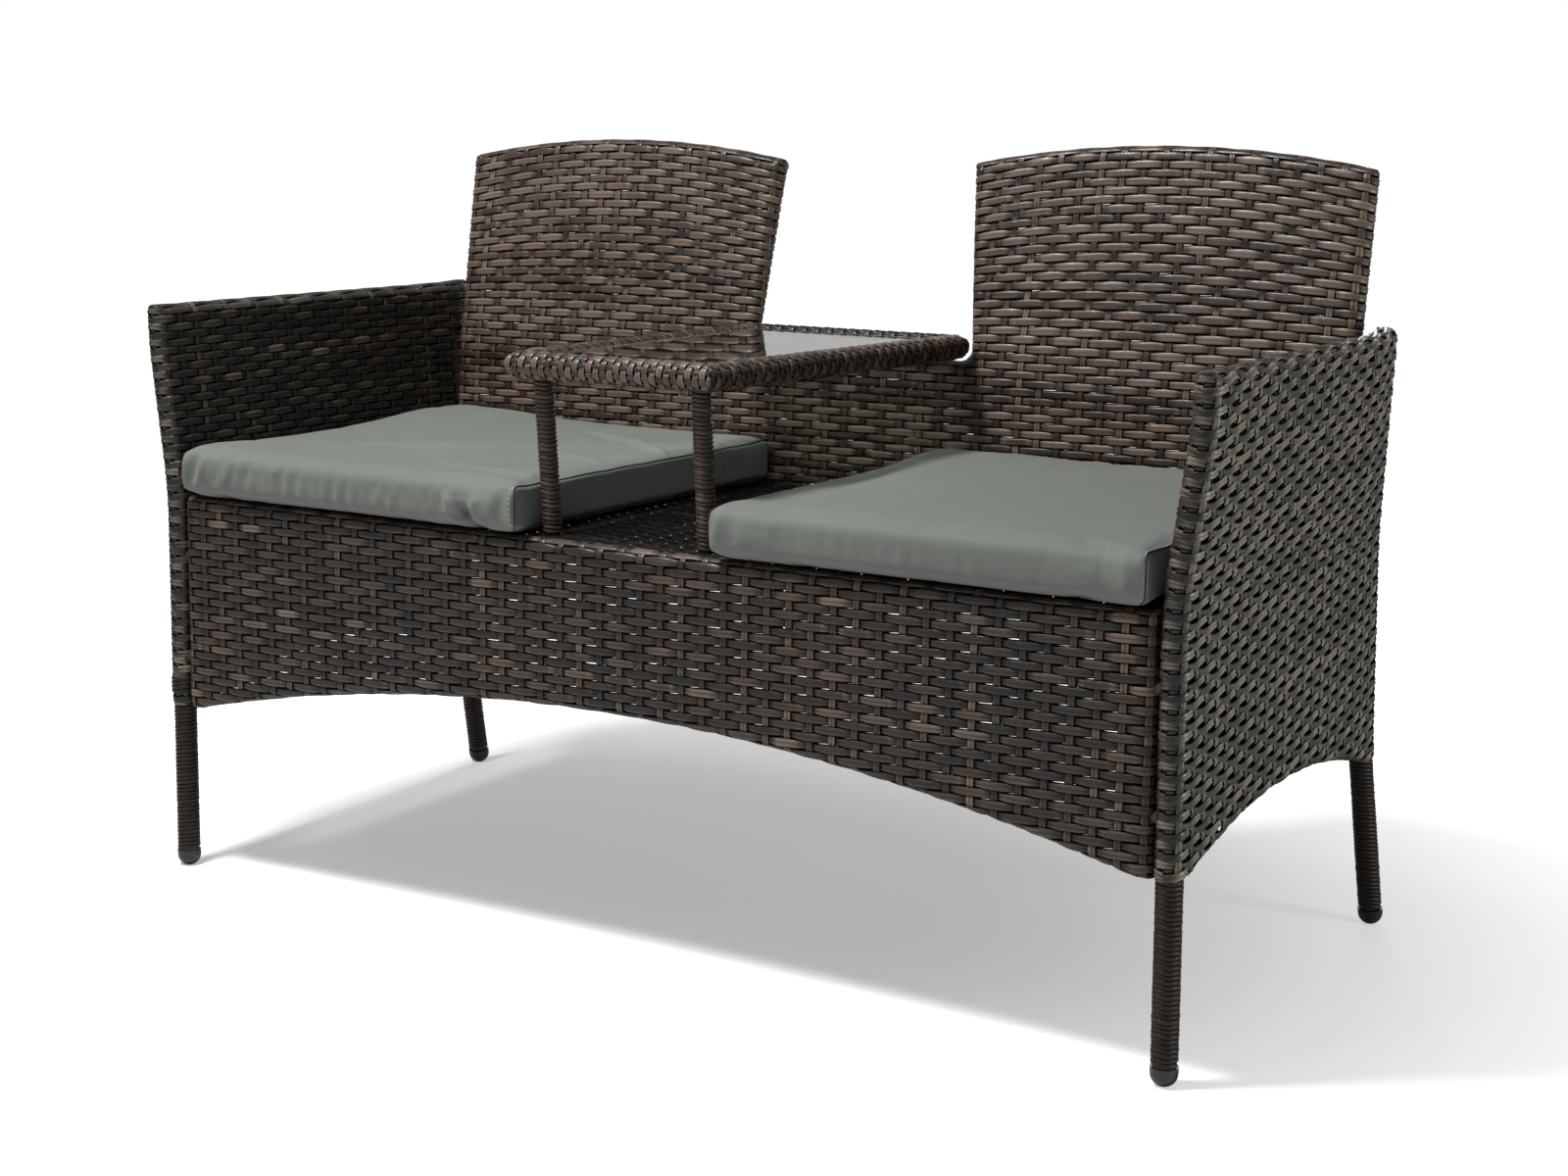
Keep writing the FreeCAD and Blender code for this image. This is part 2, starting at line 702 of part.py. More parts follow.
def table_leg_rod(side, radius, extra):
    """Make a round bar along a table leg, longer at both ends by a distance."""
    low, high = table_leg_run(side)
    along = unit(high - low)
    return rod(moved_along(low, along, -extra), moved_along(high, along, extra), radius)


def table_legs(radius, bore_radius):
    """Make the two table leg tubes or their wraps, cut level at both ends."""
    low, high = table_leg_run(1)
    keep = box((-overall_width, -overall_depth, low.z), (overall_width, 0, high.z))
    return [table_leg_rod(s, radius, 5).cut(table_leg_rod(s, bore_radius, 6)).common(keep)
            for s in (-1, 1)]


def rim_weave():
    """Make the table rim's woven cover."""
    cutters = [rim_tube(rim_r + wrap_gap)] + table_plates(wrap_gap) + glass_tabs(wrap_gap)
    cutters += [table_leg_rod(s, leg_sleeve + wrap_gap, butt_gap) for s in (-1, 1)]
    return carved(rim_tube(rim_sleeve), cutters)


def glass_top():
    """Make the glass plate with softened edges."""
    gap = rim_sleeve + glass_edge_gap
    ahead, behind = rim_front + gap, rim_rear - gap
    slant = gap / math.cos(math.atan((rim_rear_x - rim_front_x) / (rim_rear - rim_front)))
    right = [V(rim_x(y) - slant, y, glass_low_z) for y in (ahead, behind)]
    left = [V(-p.x, p.y, p.z) for p in reversed(right)]
    plate = Part.Face(Part.makePolygon(right + left + right[:1])).extrude(V(0, 0, glass_t))
    upright = [e for e in plate.Edges if abs(e.tangentAt(e.FirstParameter).z) > 0.9]
    plate = plate.makeFillet(5.0, upright)
    return plate.makeChamfer(0.6, [e for f in plate.Faces for e in f.Edges
                                   if abs(f.normalAt(0, 0).z) > 0.9])


def glass_pads():
    """Make the rubber pads under the glass."""
    inset = rim_sleeve + glass_edge_gap + pad_r
    pads = [Part.makeCylinder(pad_r, pad_t, V(rim_x(y) - inset, y, tab_top_z)) for y in tab_ys]
    return with_twins(pads)


def cushion_block(xs, inset):
    """Make a rounded block the size of a cushion, smaller by an inset."""
    rear = back_y(seat_top_z) - back_sleeve - cushion_back_gap
    block = box((xs[0] + inset, -overall_depth / 2 + inset, seat_top_z + butt_gap + inset),
                (xs[1] - inset, rear - inset, cushion_top_z - inset))
    return block.makeFillet(cushion_edge_r - inset, block.Edges)


def bolt(seat, axis, length, small=False):
    """Make a button head bolt; the seat is the point under its head."""
    shank_r, head_r, head_h = (small_bolt_r, small_head_r, small_head_h) if small else \
        (bolt_r, bolt_head_r, bolt_head_h)
    back = V(axis).multiply(-1)
    head = Part.makeCylinder(head_r, head_h, seat, back)
    rim = [e for e in head.Edges if e.Curve.TypeId == "Part::GeomCircle"
           and e.CenterOfMass.distanceToPoint(seat) > head_h / 2]
    head = head.makeFillet(head_h * 0.45, rim)
    top = moved_along(seat, back, head_h)
    socket = Part.makeCylinder(head_r * socket_share, head_h * 0.6, top, axis)
    return united([head.cut(socket), Part.makeCylinder(shank_r, length, seat, axis)])


def washer(seat, axis, small=False):
    """Make a flat washer whose far face is at the seat."""
    shank_r, head_r = (small_bolt_r, small_head_r) if small else (bolt_r, bolt_head_r)
    start = moved_along(seat, axis, -washer_t)
    disc = Part.makeCylinder(head_r * washer_share, washer_t, start, axis)
    return disc.cut(Part.makeCylinder(shank_r + drill_gap, washer_t, start, axis))


def insert(start, axis, outer_r, length, shank_r):
    """Make a threaded insert."""
    body = Part.makeCylinder(outer_r, length, start, axis)
    return body.cut(Part.makeCylinder(shank_r + thread_gap, length, start, axis))


class BoltedJoint:
    """One bolt with its washer and insert, and the drills that clear them."""

    def __init__(self, surface, axis, reach, small=False, insert_r=None, depth=insert_l):
        """Place the joint: surface is where the washer bears, reach is how far the insert starts."""
        self.axis = unit(axis)
        self.surface = surface
        self.small = small
        self.shank_r = small_bolt_r if small else bolt_r
        self.head_r = small_head_r if small else bolt_head_r
        self.insert_r = insert_r or self.shank_r + insert_wall
        self.start = moved_along(surface, self.axis, reach)
        self.depth = depth
        self.reach = reach

    def bolt(self):
        """Give the bolt."""
        seat = moved_along(self.surface, self.axis, -washer_t)
        return bolt(seat, self.axis, self.reach + washer_t + self.depth - 1.0, self.small)

    def washer(self):
        """Give the washer."""
        return washer(self.surface, self.axis, self.small)

    def insert(self):
        """Give the threaded insert."""
        return insert(self.start, self.axis, self.insert_r, self.depth, self.shank_r)

    def shank_drill(self):
        """Give the hole for the shank from the head to the insert's end."""
        return Part.makeCylinder(self.shank_r + drill_gap, self.reach + self.depth, self.surface, self.axis)

    def head_drill(self):
        """Give the room for the head and washer in the wicker."""
        start = moved_along(self.surface, self.axis, -12.0)
        return Part.makeCylinder(self.head_r * washer_share + 0.4, 12.0, start, self.axis)

    def insert_drill(self):
        """Give the hole that the insert sits in."""
        return Part.makeCylinder(self.insert_r + thread_gap, self.depth, self.start, self.axis)

    def cut_from(self, shape):
        """Cut all three holes from a shape."""
        return shape.cut([self.shank_drill(), self.head_drill(), self.insert_drill()])


def seat_arm_joints():
    """Give the bolts from the apron's end tubes into the right front post."""
    joints = []
    for z in seat_bolt_zs:
        tube = V(seat_rail_x, seat_front_y, z)
        post = at_height(front_post_corners(), z)
        axis = unit(post - tube)
        reach = (post - tube).Length + seat_r - arm_r
        joints.append(BoltedJoint(moved_along(tube, axis, -seat_r), axis, reach))
    return joints


def back_arm_joints():
    """Give the bolts from the back's right stile into the right rear post."""
    joints = []
    for z in back_arm_bolt_zs:
        tube = V(back_stile_x(z), back_y(z), z)
        post = at_height(rear_post_corners(), z)
        axis = unit(post - tube)
        reach = (post - tube).Length + back_r - arm_r
        joints.append(BoltedJoint(moved_along(tube, axis, -back_r), axis, reach))
    return joints


def back_seat_joints():
    """Give the bolts from the seat's rear rail into the back's bottom rail."""
    reach = seat_r + (back_low_y - seat_rear_y) - back_r
    return [BoltedJoint(V(x, seat_rear_y - seat_r, seat_rail_z), V(0, 1, 0), reach)
            for x in back_seat_bolt_xs]


def leg_foot_joints():
    """Give the bolts from under the cross tubes up into the table legs."""
    reach = seat_top_z + butt_gap + plug_rise - (cross_z - cross_r)
    return [BoltedJoint(V(s * table_foot_x, table_foot_y, cross_z - cross_r), V(0, 0, 1), reach, True,
                        None, plug_l) for s in (-1, 1)]


def leg_top_joints():
    """Give the bolts from the table's corner plates down into the legs."""
    reach = plate_t + butt_gap / 2 + plug_rise
    return [BoltedJoint(V(s * table_leg_top_x, table_leg_top_y, plate_top_z), V(0, 0, -1), reach, True,
                        None, plug_l) for s in (-1, 1)]


def leg_plug(joint, side, at_foot):
    """Make the plug at one end of a table leg, tapped for its bolt."""
    low, high = table_leg_run(side)
    along = unit(high - low)
    start = moved_along(low, along, plug_rise) if at_foot else moved_along(high, along, -plug_rise - plug_l)
    body = Part.makeCylinder(leg_r - tube_wall - thread_gap, plug_l, start, along)
    return body.cut(Part.makeCylinder(small_bolt_r + thread_gap, 2 * plug_l + 40,
                                      moved_along(joint.surface, joint.axis, -5.0), joint.axis))


def leg_plugs():
    """Make the four plugs of the table legs."""
    feet = [leg_plug(j, s, True) for j, s in zip(leg_foot_joints(), (-1, 1))]
    return feet + [leg_plug(j, s, False) for j, s in zip(leg_top_joints(), (-1, 1))]


def table_back_joints():
    """Give the bolts from the rear strap down into the back's centre rail."""
    reach = plate_top_z - (notch_z + back_r)
    return [BoltedJoint(V(s * strap_bolt_x, strap_y(), plate_top_z), V(0, 0, -1), reach)
            for s in (-1, 1)]


def drilled(shape, joints):
    """Cut the holes of some joints from a shape."""
    for joint in joints:
        shape = joint.cut_from(shape)
    return shape


def stile_at(z):
    """Give the middle of the back's right stile at a height."""
    return V(back_stile_x(z), back_y(z), z)


def apron_end_at(z):
    """Give the middle of the apron's right end tube at a height."""
    return V(seat_rail_x, seat_front_y, z)


def front_post_at(z):
    """Give the middle of the right front post at a height."""
    return at_height(front_post_corners(), z)


def rear_post_at(z):
    """Give the middle of the right rear post at a height."""
    return at_height(rear_post_corners(), z)


def bush_between(joint, z, tube_1, sleeve_1, tube_2, sleeve_2):
    """Make the bush that fills the gap between two wrapped tubes at a joint."""
    body = Part.makeCylinder(bush_r, joint.reach + joint.depth, joint.surface, joint.axis)
    for tube, radius in ((tube_1, sleeve_1), (tube_2, sleeve_2)):
        body = body.cut(rod(tube(z - 30), tube(z + 30), radius + wrap_gap))
    body = body.cut(joint.shank_drill())
    pieces = [s for s in body.Solids if (s.CenterOfMass - tube_1(z)).dot(joint.axis) > 0
              and (s.CenterOfMass - tube_2(z)).dot(joint.axis) < 0]
    return pieces[0]


def seat_bushes():
    """Make the bushes between the apron ends and the front posts, right side."""
    return [bush_between(j, z, apron_end_at, seat_sleeve, front_post_at, arm_sleeve)
            for j, z in zip(seat_arm_joints(), seat_bolt_zs)]


def back_bushes():
    """Make the bushes between the back's stiles and the rear posts, right side."""
    return [bush_between(j, z, stile_at, back_sleeve, rear_post_at, arm_sleeve)
            for j, z in zip(back_arm_joints(), back_arm_bolt_zs)]


def strap_spacers():
    """Make the washers between the table's strap and the back's centre rail."""
    low = notch_z + back_sleeve
    spacers = []
    for joint in table_back_joints():
        start = V(joint.surface.x, joint.surface.y, low)
        height = plate_low_z - low
        disc = Part.makeCylinder(bush_r, height, start)
        spacers.append(disc.cut(joint.shank_drill()))
    return spacers


def with_twins(shapes):
    """Add the left side's twins to a list of right side shapes."""
    return shapes + [mirrored(shape) for shape in shapes]


def build():
    """Build every sub-part and give a dictionary of node name to shapes."""
    seat_arm, back_arm = seat_arm_joints(), back_arm_joints()
    back_seat, leg_foot = back_seat_joints(), leg_foot_joints()
    leg_top, table_back = leg_top_joints(), table_back_joints()
    nodes = {}

    frame = drilled(arm_frame(), seat_arm + back_arm)
    weave = drilled(arm_weave(), seat_arm + back_arm)
    nodes["arm_frame_right"], nodes["arm_frame_left"] = [frame], [mirrored(frame)]
    nodes["arm_weave_right"], nodes["arm_weave_left"] = [weave], [mirrored(weave)]
    for name, rear in (("front", False), ("rear", True)):
        wrap = leg_wrap(rear)
        nodes["leg_wrap_%s_right" % name] = [wrap]
        nodes["leg_wrap_%s_left" % name] = [mirrored(wrap)]
    nodes["foot_caps"] = foot_caps()

    side_joints = seat_arm + back_seat + leg_foot
    seat = drilled(seat_frame(), side_joints)
    apron = drilled(apron_weave(), seat_arm)
    for joint in seat_arm:
        drills = [mirrored(d) for d in (joint.shank_drill(), joint.head_drill())]
        seat, apron = seat.cut(drills), apron.cut(drills)
    nodes["seat_frame"] = [seat]
    nodes["apron_weave"] = [apron]
    nodes["seat_weave"] = [drilled(seat_weave(), back_seat + leg_foot)]

    back = drilled(back_frame(), back_arm + back_seat + table_back)
    skin = drilled(back_weave(), back_arm + back_seat + table_back)
    for joint in back_arm:
        drills = [mirrored(d) for d in (joint.shank_drill(), joint.head_drill())]
        back, skin = back.cut(drills), skin.cut(drills)
    nodes["back_frame"] = [back]
    nodes["back_weave"] = [skin]

    nodes["table_frame"] = [drilled(table_frame(), leg_top + table_back)]
    nodes["table_rim_weave"] = [drilled(rim_weave(), leg_top + table_back)]
    tubes = table_legs(leg_r, leg_r - tube_wall)
    wraps = table_legs(leg_sleeve, leg_r + wrap_gap)
    for tube, wrap, side in zip(tubes, wraps, ("left", "right")):
        nodes["table_leg_" + side] = [tube]
        nodes["table_leg_wrap_" + side] = [wrap]
    nodes["glass_top"] = [glass_top()]
    nodes["glass_pads"] = glass_pads()

    for xs, name in ((left_cushion_x, "left"), (right_cushion_x, "right")):
        hollow = cushion_block(xs, cover_t)
        nodes["cushion_cover_" + name] = [cushion_block(xs, 0).cut(hollow)]
        nodes["cushion_foam_" + name] = [cushion_block(xs, cover_t + lift_gap)]

    nodes["seat_arm_bolts"] = with_twins([j.bolt() for j in seat_arm])
    nodes["back_arm_bolts"] = with_twins([j.bolt() for j in back_arm])
    nodes["back_seat_bolts"] = [j.bolt() for j in back_seat]
    nodes["table_leg_bolts"] = [j.bolt() for j in leg_foot + leg_top]
    nodes["table_back_bolts"] = [j.bolt() for j in table_back]
    nodes["bolt_washers"] = (with_twins([j.washer() for j in seat_arm + back_arm])
                             + [j.washer() for j in back_seat + leg_foot + leg_top + table_back])
    nodes["thread_inserts"] = (with_twins([j.insert() for j in seat_arm + back_arm])
                               + [j.insert() for j in back_seat + table_back])
    nodes["table_leg_plugs"] = leg_plugs()
    nodes["apron_bushes"] = with_twins(seat_bushes())
    nodes["back_bushes"] = with_twins(back_bushes())
    nodes["strap_spacers"] = strap_spacers()
    return nodes


def export(nodes):
    """Write one STEP file per node."""
    os.makedirs("parts", exist_ok=True)
    for name, shapes in nodes.items():
        solids = [solid for shape in shapes for solid in shape.Solids]
        shape = solids[0] if len(solids) == 1 else Part.makeCompound(solids)
        box_ = shape.BoundBox
        print("%-24s solids %2d valid %s volume %10.0f  x %7.1f %7.1f y %7.1f %7.1f z %6.1f %6.1f" % (
            name, len(solids), shape.isValid(), shape.Volume,
            box_.XMin, box_.XMax, box_.YMin, box_.YMax, box_.ZMin, box_.ZMax))
        shape.exportStep("parts/%s.step" % name)


export(build())
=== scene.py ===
"""Looks of the companion seat bench: woven strands, cushions, glass, frame finishes and studio.

Lengths are millimetres until a mesh is made, and the frame of the solids is kept as it is.
"""

import json
import logging
import math
from dataclasses import dataclass, field
from enum import Enum
from typing import Callable, Sequence

import bmesh
import bpy
import numpy as np
from mathutils import Matrix, Vector
from mathutils.bvhtree import BVHTree


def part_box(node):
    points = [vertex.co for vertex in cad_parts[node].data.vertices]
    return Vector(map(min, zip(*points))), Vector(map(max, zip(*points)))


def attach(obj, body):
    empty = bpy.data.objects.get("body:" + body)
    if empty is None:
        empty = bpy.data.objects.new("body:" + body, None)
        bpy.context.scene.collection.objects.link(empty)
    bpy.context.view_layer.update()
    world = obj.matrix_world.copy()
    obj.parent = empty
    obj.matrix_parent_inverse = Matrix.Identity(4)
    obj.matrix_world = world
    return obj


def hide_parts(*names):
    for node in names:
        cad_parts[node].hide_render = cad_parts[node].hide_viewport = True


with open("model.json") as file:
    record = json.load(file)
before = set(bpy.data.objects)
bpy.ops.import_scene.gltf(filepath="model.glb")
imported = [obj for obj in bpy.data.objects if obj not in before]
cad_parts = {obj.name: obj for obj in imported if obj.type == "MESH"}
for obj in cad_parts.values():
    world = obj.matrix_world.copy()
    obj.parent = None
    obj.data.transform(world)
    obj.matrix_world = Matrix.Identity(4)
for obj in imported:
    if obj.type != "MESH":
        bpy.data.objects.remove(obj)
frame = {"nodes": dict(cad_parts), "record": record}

Array = np.ndarray
Triple = tuple[float, float, float]
Away = tuple[Array, Array, Array]
AwayRule = Callable[[Array, Array], Away]
Socket = bpy.types.NodeSocket
MM = 0.001
TINY = 1e-9
FULL_TURN = 2 * math.pi
LOG = logging.getLogger("bench")
IMAGE_SIZE = (1600, 1200)


class Body(Enum):
    """The bodies of the frame."""

    BENCH = "bench"
    LEFT_CUSHION = "cushion_left"
    RIGHT_CUSHION = "cushion_right"


class Slot(Enum):
    """The record's material slots that new pieces use."""

    WICKER = "wicker"
    CLOTH = "cushion_cloth"


class Along(Enum):
    """The surface coordinate that a strand runs along."""

    A = 0
    B = 1


def new_object(name: str, data: bpy.types.ID) -> bpy.types.Object:
    """Make the object of a mesh, lamp or camera and link it to the scene."""
    made = bpy.data.objects.new(name, data)
    bpy.context.scene.collection.objects.link(made)
    return made


def ramp(value: Array, reach: float) -> Array:
    """Give a ramp that starts at zero through a soft bend.

    Args:
        value: distance past the corner.
        reach: distance on each side of the corner that the bend takes.
    Returns:
        The ramp's height.
    """
    near = (np.clip(value, -reach, reach) + reach) ** 2 / (4.0 * reach)
    return np.where(value > reach, value, near)


def bent_line(value: Array, knots: Sequence[tuple[float, float]], reaches: Sequence[float]) -> Array:
    """Follow straight runs through knots with a soft bend at each inner knot.

    Args:
        value: where to read the line.
        knots: pairs of place and height, in rising order of place.
        reaches: bend reach at each inner knot.
    Returns:
        The line's height at each value.
    """
    slopes = [(h1 - h0) / (v1 - v0) for (v0, h0), (v1, h1) in zip(knots, knots[1:])]
    line = knots[0][1] + slopes[0] * (value - knots[0][0])
    for (place, _), before, after, reach in zip(knots[1:], slopes, slopes[1:], reaches):
        line = line + (after - before) * ramp(value - place, reach)
    return line


def arc(run: Array, half: float, sag: float, top: float) -> tuple[Array, Array]:
    """Follow a round arch.

    Args:
        run: distance from the arch's middle.
        half: half of its width.
        sag: how far its ends lie below its top.
        top: height of its top.
    Returns:
        Its height and its slope.
    """
    radius = (half ** 2 + sag ** 2) / (2 * sag)
    root = np.sqrt(radius ** 2 - run ** 2)
    return top - radius + root, -run / root


def above_edge(height: Array, edge: Array, slope: Array) -> Away:
    """Give the distance from a sloping lower edge and the direction away from it."""
    size = np.sqrt(1 + slope ** 2)
    return (height - edge) / size, -slope / size, 1 / size


@dataclass(frozen=True)
class Strand:
    """A flat plastic strand with two ridges."""

    width: float = 9.6
    thick: float = 1.7
    groove: float = 0.75
    flare: float = 0.07
    coarse: bool = False
    # these thin edge faces get the near-black painted shade material
    thin_corners = (0, 5)  # the faces of the full section that are its thin edges

    def section(self) -> Away:
        """Give the closed section: shares of the half width, heights, and the painted light at each corner,
        low on the thin edges and in the groove as painted shade between strands.
        """
        half = self.thick / 2
        crest, hollow = half + self.groove * 0.4, half - self.groove * 0.6
        across = [-1.0, -0.74, -0.40, 0.0, 0.40, 0.74, 1.0, 0.5, 0.0, -0.5]
        height = [-0.9 * half, 0.3 * half, crest, hollow, crest, 0.3 * half, -0.9 * half,
                  -crest, -hollow, -crest]
        opened = [0.0, 0.72, 1.0, 0.42, 1.0, 0.72, 0.0, 0.8, 0.6, 0.8]
        if self.coarse:
            across = [-1.0, -0.5, 0.0, 0.5, 1.0, 0.0]
            height = [-0.4 * half, crest, hollow, crest, -0.4 * half, -half]
            opened = [0.0, 1.0, 0.6, 1.0, 0.0, 0.8]
        return np.array(across), np.array(height), np.array(opened)


@dataclass
class Cloud:
    """Vertices, quads and strand attributes gathered for one piece."""

    points: list[Array] = field(default_factory=list)
    quads: list[Array] = field(default_factory=list)
    tone: list[Array] = field(default_factory=list)
    # rise carries painted shade: low where a strand dives under another, on its thin edges and in its groove
    rise: list[Array] = field(default_factory=list)
    grain: list[Array] = field(default_factory=list)
    edges: list[Array] = field(default_factory=list)
    count: int = 0

    def add(self, points: Array, quads: Array, edges: Array, tone: Array, rise: Array, grain: Array) -> None:
        """Add one batch of strands; edges marks the quads that are a strand's thin edge."""
        self.points.append(points)
        self.quads.append(quads + self.count)
        self.edges.append(edges)
        self.tone.append(tone)
        self.rise.append(rise)
        self.grain.append(grain)
        self.count += len(points)

    def to_object(self, name: str, mirror: bool = False, turned: bool = False) -> bpy.types.Object:
        """Make the piece's mesh.

        Args:
            name: the piece's name.
            mirror: whether to make the twin on the other side of the bench.
            turned: whether the strands were laid on a surface that faces the other way.
        Returns:
            The new object, linked to the scene.
        """
        points = np.vstack(self.points) * MM
        quads = np.vstack(self.quads)
        if mirror:
            points = points * np.array([-1.0, 1.0, 1.0])
        if mirror != turned:
            quads = quads[:, ::-1]
        used, flat = np.unique(quads, return_inverse=True)
        quads = flat.reshape(quads.shape)
        mesh = bpy.data.meshes.new(name)
        mesh.vertices.add(len(used))
        mesh.vertices.foreach_set("co", points[used].astype(np.float32).ravel())
        mesh.loops.add(quads.size)
        mesh.loops.foreach_set("vertex_index", quads.astype(np.int32).ravel())
        mesh.polygons.add(len(quads))
        mesh.polygons.foreach_set("loop_start", np.arange(0, quads.size, 4, dtype=np.int32))
        mesh.update(calc_edges=True)
        mesh.shade_smooth()
        mesh.attributes.new("thin_edge", "INT", "FACE").data.foreach_set("value", np.concatenate(self.edges))
        for title, values in (("tone", self.tone), ("rise", self.rise)):
            layer = mesh.attributes.new(title, "FLOAT", "POINT")
            layer.data.foreach_set("value", np.concatenate(values)[used].astype(np.float32))
        layer = mesh.attributes.new("grain", "FLOAT_VECTOR", "POINT")
        layer.data.foreach_set("vector", np.vstack(self.grain)[used].astype(np.float32).ravel())
        return new_object(name, mesh)


class Surface:
    """A surface that strands are laid on; subclasses say where each place lies."""

    probe = 0.25

    def place(self, a: Array, b: Array) -> Array:
        """Give the points at surface coordinates."""
        raise NotImplementedError

    def covers(self, a: Array, b: Array) -> Array:
        """Say which places belong to the surface."""
        return np.ones(np.broadcast(a, b).shape, bool)

    def tight(self, a: Array, b: Array) -> Array:
        """Say how tightly strands are pulled down, from 0 on open weave to 1 round an edge tube."""
        return np.zeros(np.broadcast(a, b).shape)

    def normal(self, a: Array, b: Array) -> Array:
        """Give the outward normals at surface coordinates."""
        along = self.place(a + self.probe, b) - self.place(a - self.probe, b)
        across = self.place(a, b + self.probe) - self.place(a, b - self.probe)
        out = np.cross(along, across)
        return out / np.maximum(np.linalg.norm(out, axis=-1, keepdims=True), TINY)


@dataclass(frozen=True)
class Fold:
    """An edge where a sheet turns round a tube.

    away gives the distance in from the edge and the inward direction, at surface coordinates.
    """

    radius: float
    limit: float
    away: AwayRule

    def turn(self, a: Array, b: Array) -> Array:
        """Give how far round the tube each place lies, in radians, without a limit."""
        return (self.radius - self.away(a, b)[0]) / self.radius


@dataclass
class Sheet(Surface):
    """A sheet whose edges fold round tubes.

    spread gives the point for a place on the unfolded sheet and a depth behind its front.
    """

    spread: Callable[[Array, Array, Array], Array]
    folds: list[Fold]
    side: float = 1.0
    corner_limit: float = 1.75
    pull: float = 0.75
    tight_from, tight_run = 0.2, 0.9  # radians round a tube where strands get tight, and until they are

    def normal(self, a: Array, b: Array) -> Array:
        """Give the outward normals, turned over where the sheet faces the other way."""
        return self.side * super().normal(a, b)

    def place(self, a: Array, b: Array) -> Array:
        """Give the points at surface coordinates, folded round the edge tubes."""
        a, b = np.broadcast_arrays(np.asarray(a, float), np.asarray(b, float))
        new_a, new_b, depth = a.copy(), b.copy(), np.zeros(a.shape)
        for fold in self.folds:
            away, in_a, in_b = fold.away(a, b)
            turn = np.clip((fold.radius - away) / fold.radius, 0.0, fold.limit)
            shift = np.where(turn > 0, fold.radius * (1 - np.sin(turn)) - away, 0.0)
            new_a = new_a + in_a * shift
            new_b = new_b + in_b * shift
            depth = np.maximum(depth, fold.radius * (1 - np.cos(turn)))
        return self.spread(new_a, new_b, depth)

    def tight(self, a: Array, b: Array) -> Array:
        """Say how tightly strands are pulled down: fully where the sheet has turned round a tube."""
        turn = np.max(np.stack([fold.turn(a, b) for fold in self.folds]), axis=0)
        share = np.clip((turn - self.tight_from) / self.tight_run, 0.0, 1.0)
        return self.pull * share * share * (3 - 2 * share)

    def covers(self, a: Array, b: Array) -> Array:
        """Say which places lie within the folds' limits and off the hidden corner backs."""
        turns = np.stack([fold.turn(a, b) for fold in self.folds])
        limits = np.array([fold.limit for fold in self.folds]).reshape(-1, *[1] * np.ndim(a))
        inside = np.all(turns < limits, axis=0)
        second = np.sort(turns, axis=0)[-2]
        return inside & (second < self.corner_limit)


@dataclass
class Pole(Surface):
    """An upright tube whose middle follows x and y over the height."""

    x_at: Callable[[Array], Array]
    y_at: Callable[[Array], Array]
    radius: float

    def place(self, a: Array, b: Array) -> Array:
        """Give the points at height a and distance b round the tube."""
        a, b = np.broadcast_arrays(np.asarray(a, float), np.asarray(b, float))
        angle = -b / self.radius
        x = self.x_at(a) + self.radius * np.cos(angle)
        y = self.y_at(a) + self.radius * np.sin(angle)
        return np.stack([x, y, a], axis=-1)


@dataclass
class Bar(Surface):
    """A level straight tube between two mitred corners."""

    start: Array
    end: Array
    radius: float
    start_mitre: float
    end_mitre: float

    def __post_init__(self) -> None:
        """Work out the bar's directions."""
        run = self.end - self.start
        self.length = float(np.linalg.norm(run))
        self.along = run / self.length
        self.up = np.array([0.0, 0.0, 1.0])
        self.side = np.cross(self.along, self.up)

    def place(self, a: Array, b: Array) -> Array:
        """Give the points at distance a along the bar and b round it."""
        a, b = np.broadcast_arrays(np.asarray(a, float), np.asarray(b, float))
        angle = b / self.radius
        out, rise = self.radius * np.cos(angle), self.radius * np.sin(angle)
        held = np.clip(a, -out * self.start_mitre, self.length + out * self.end_mitre)
        return (self.start + held[..., None] * self.along + out[..., None] * self.side
                + rise[..., None] * self.up)


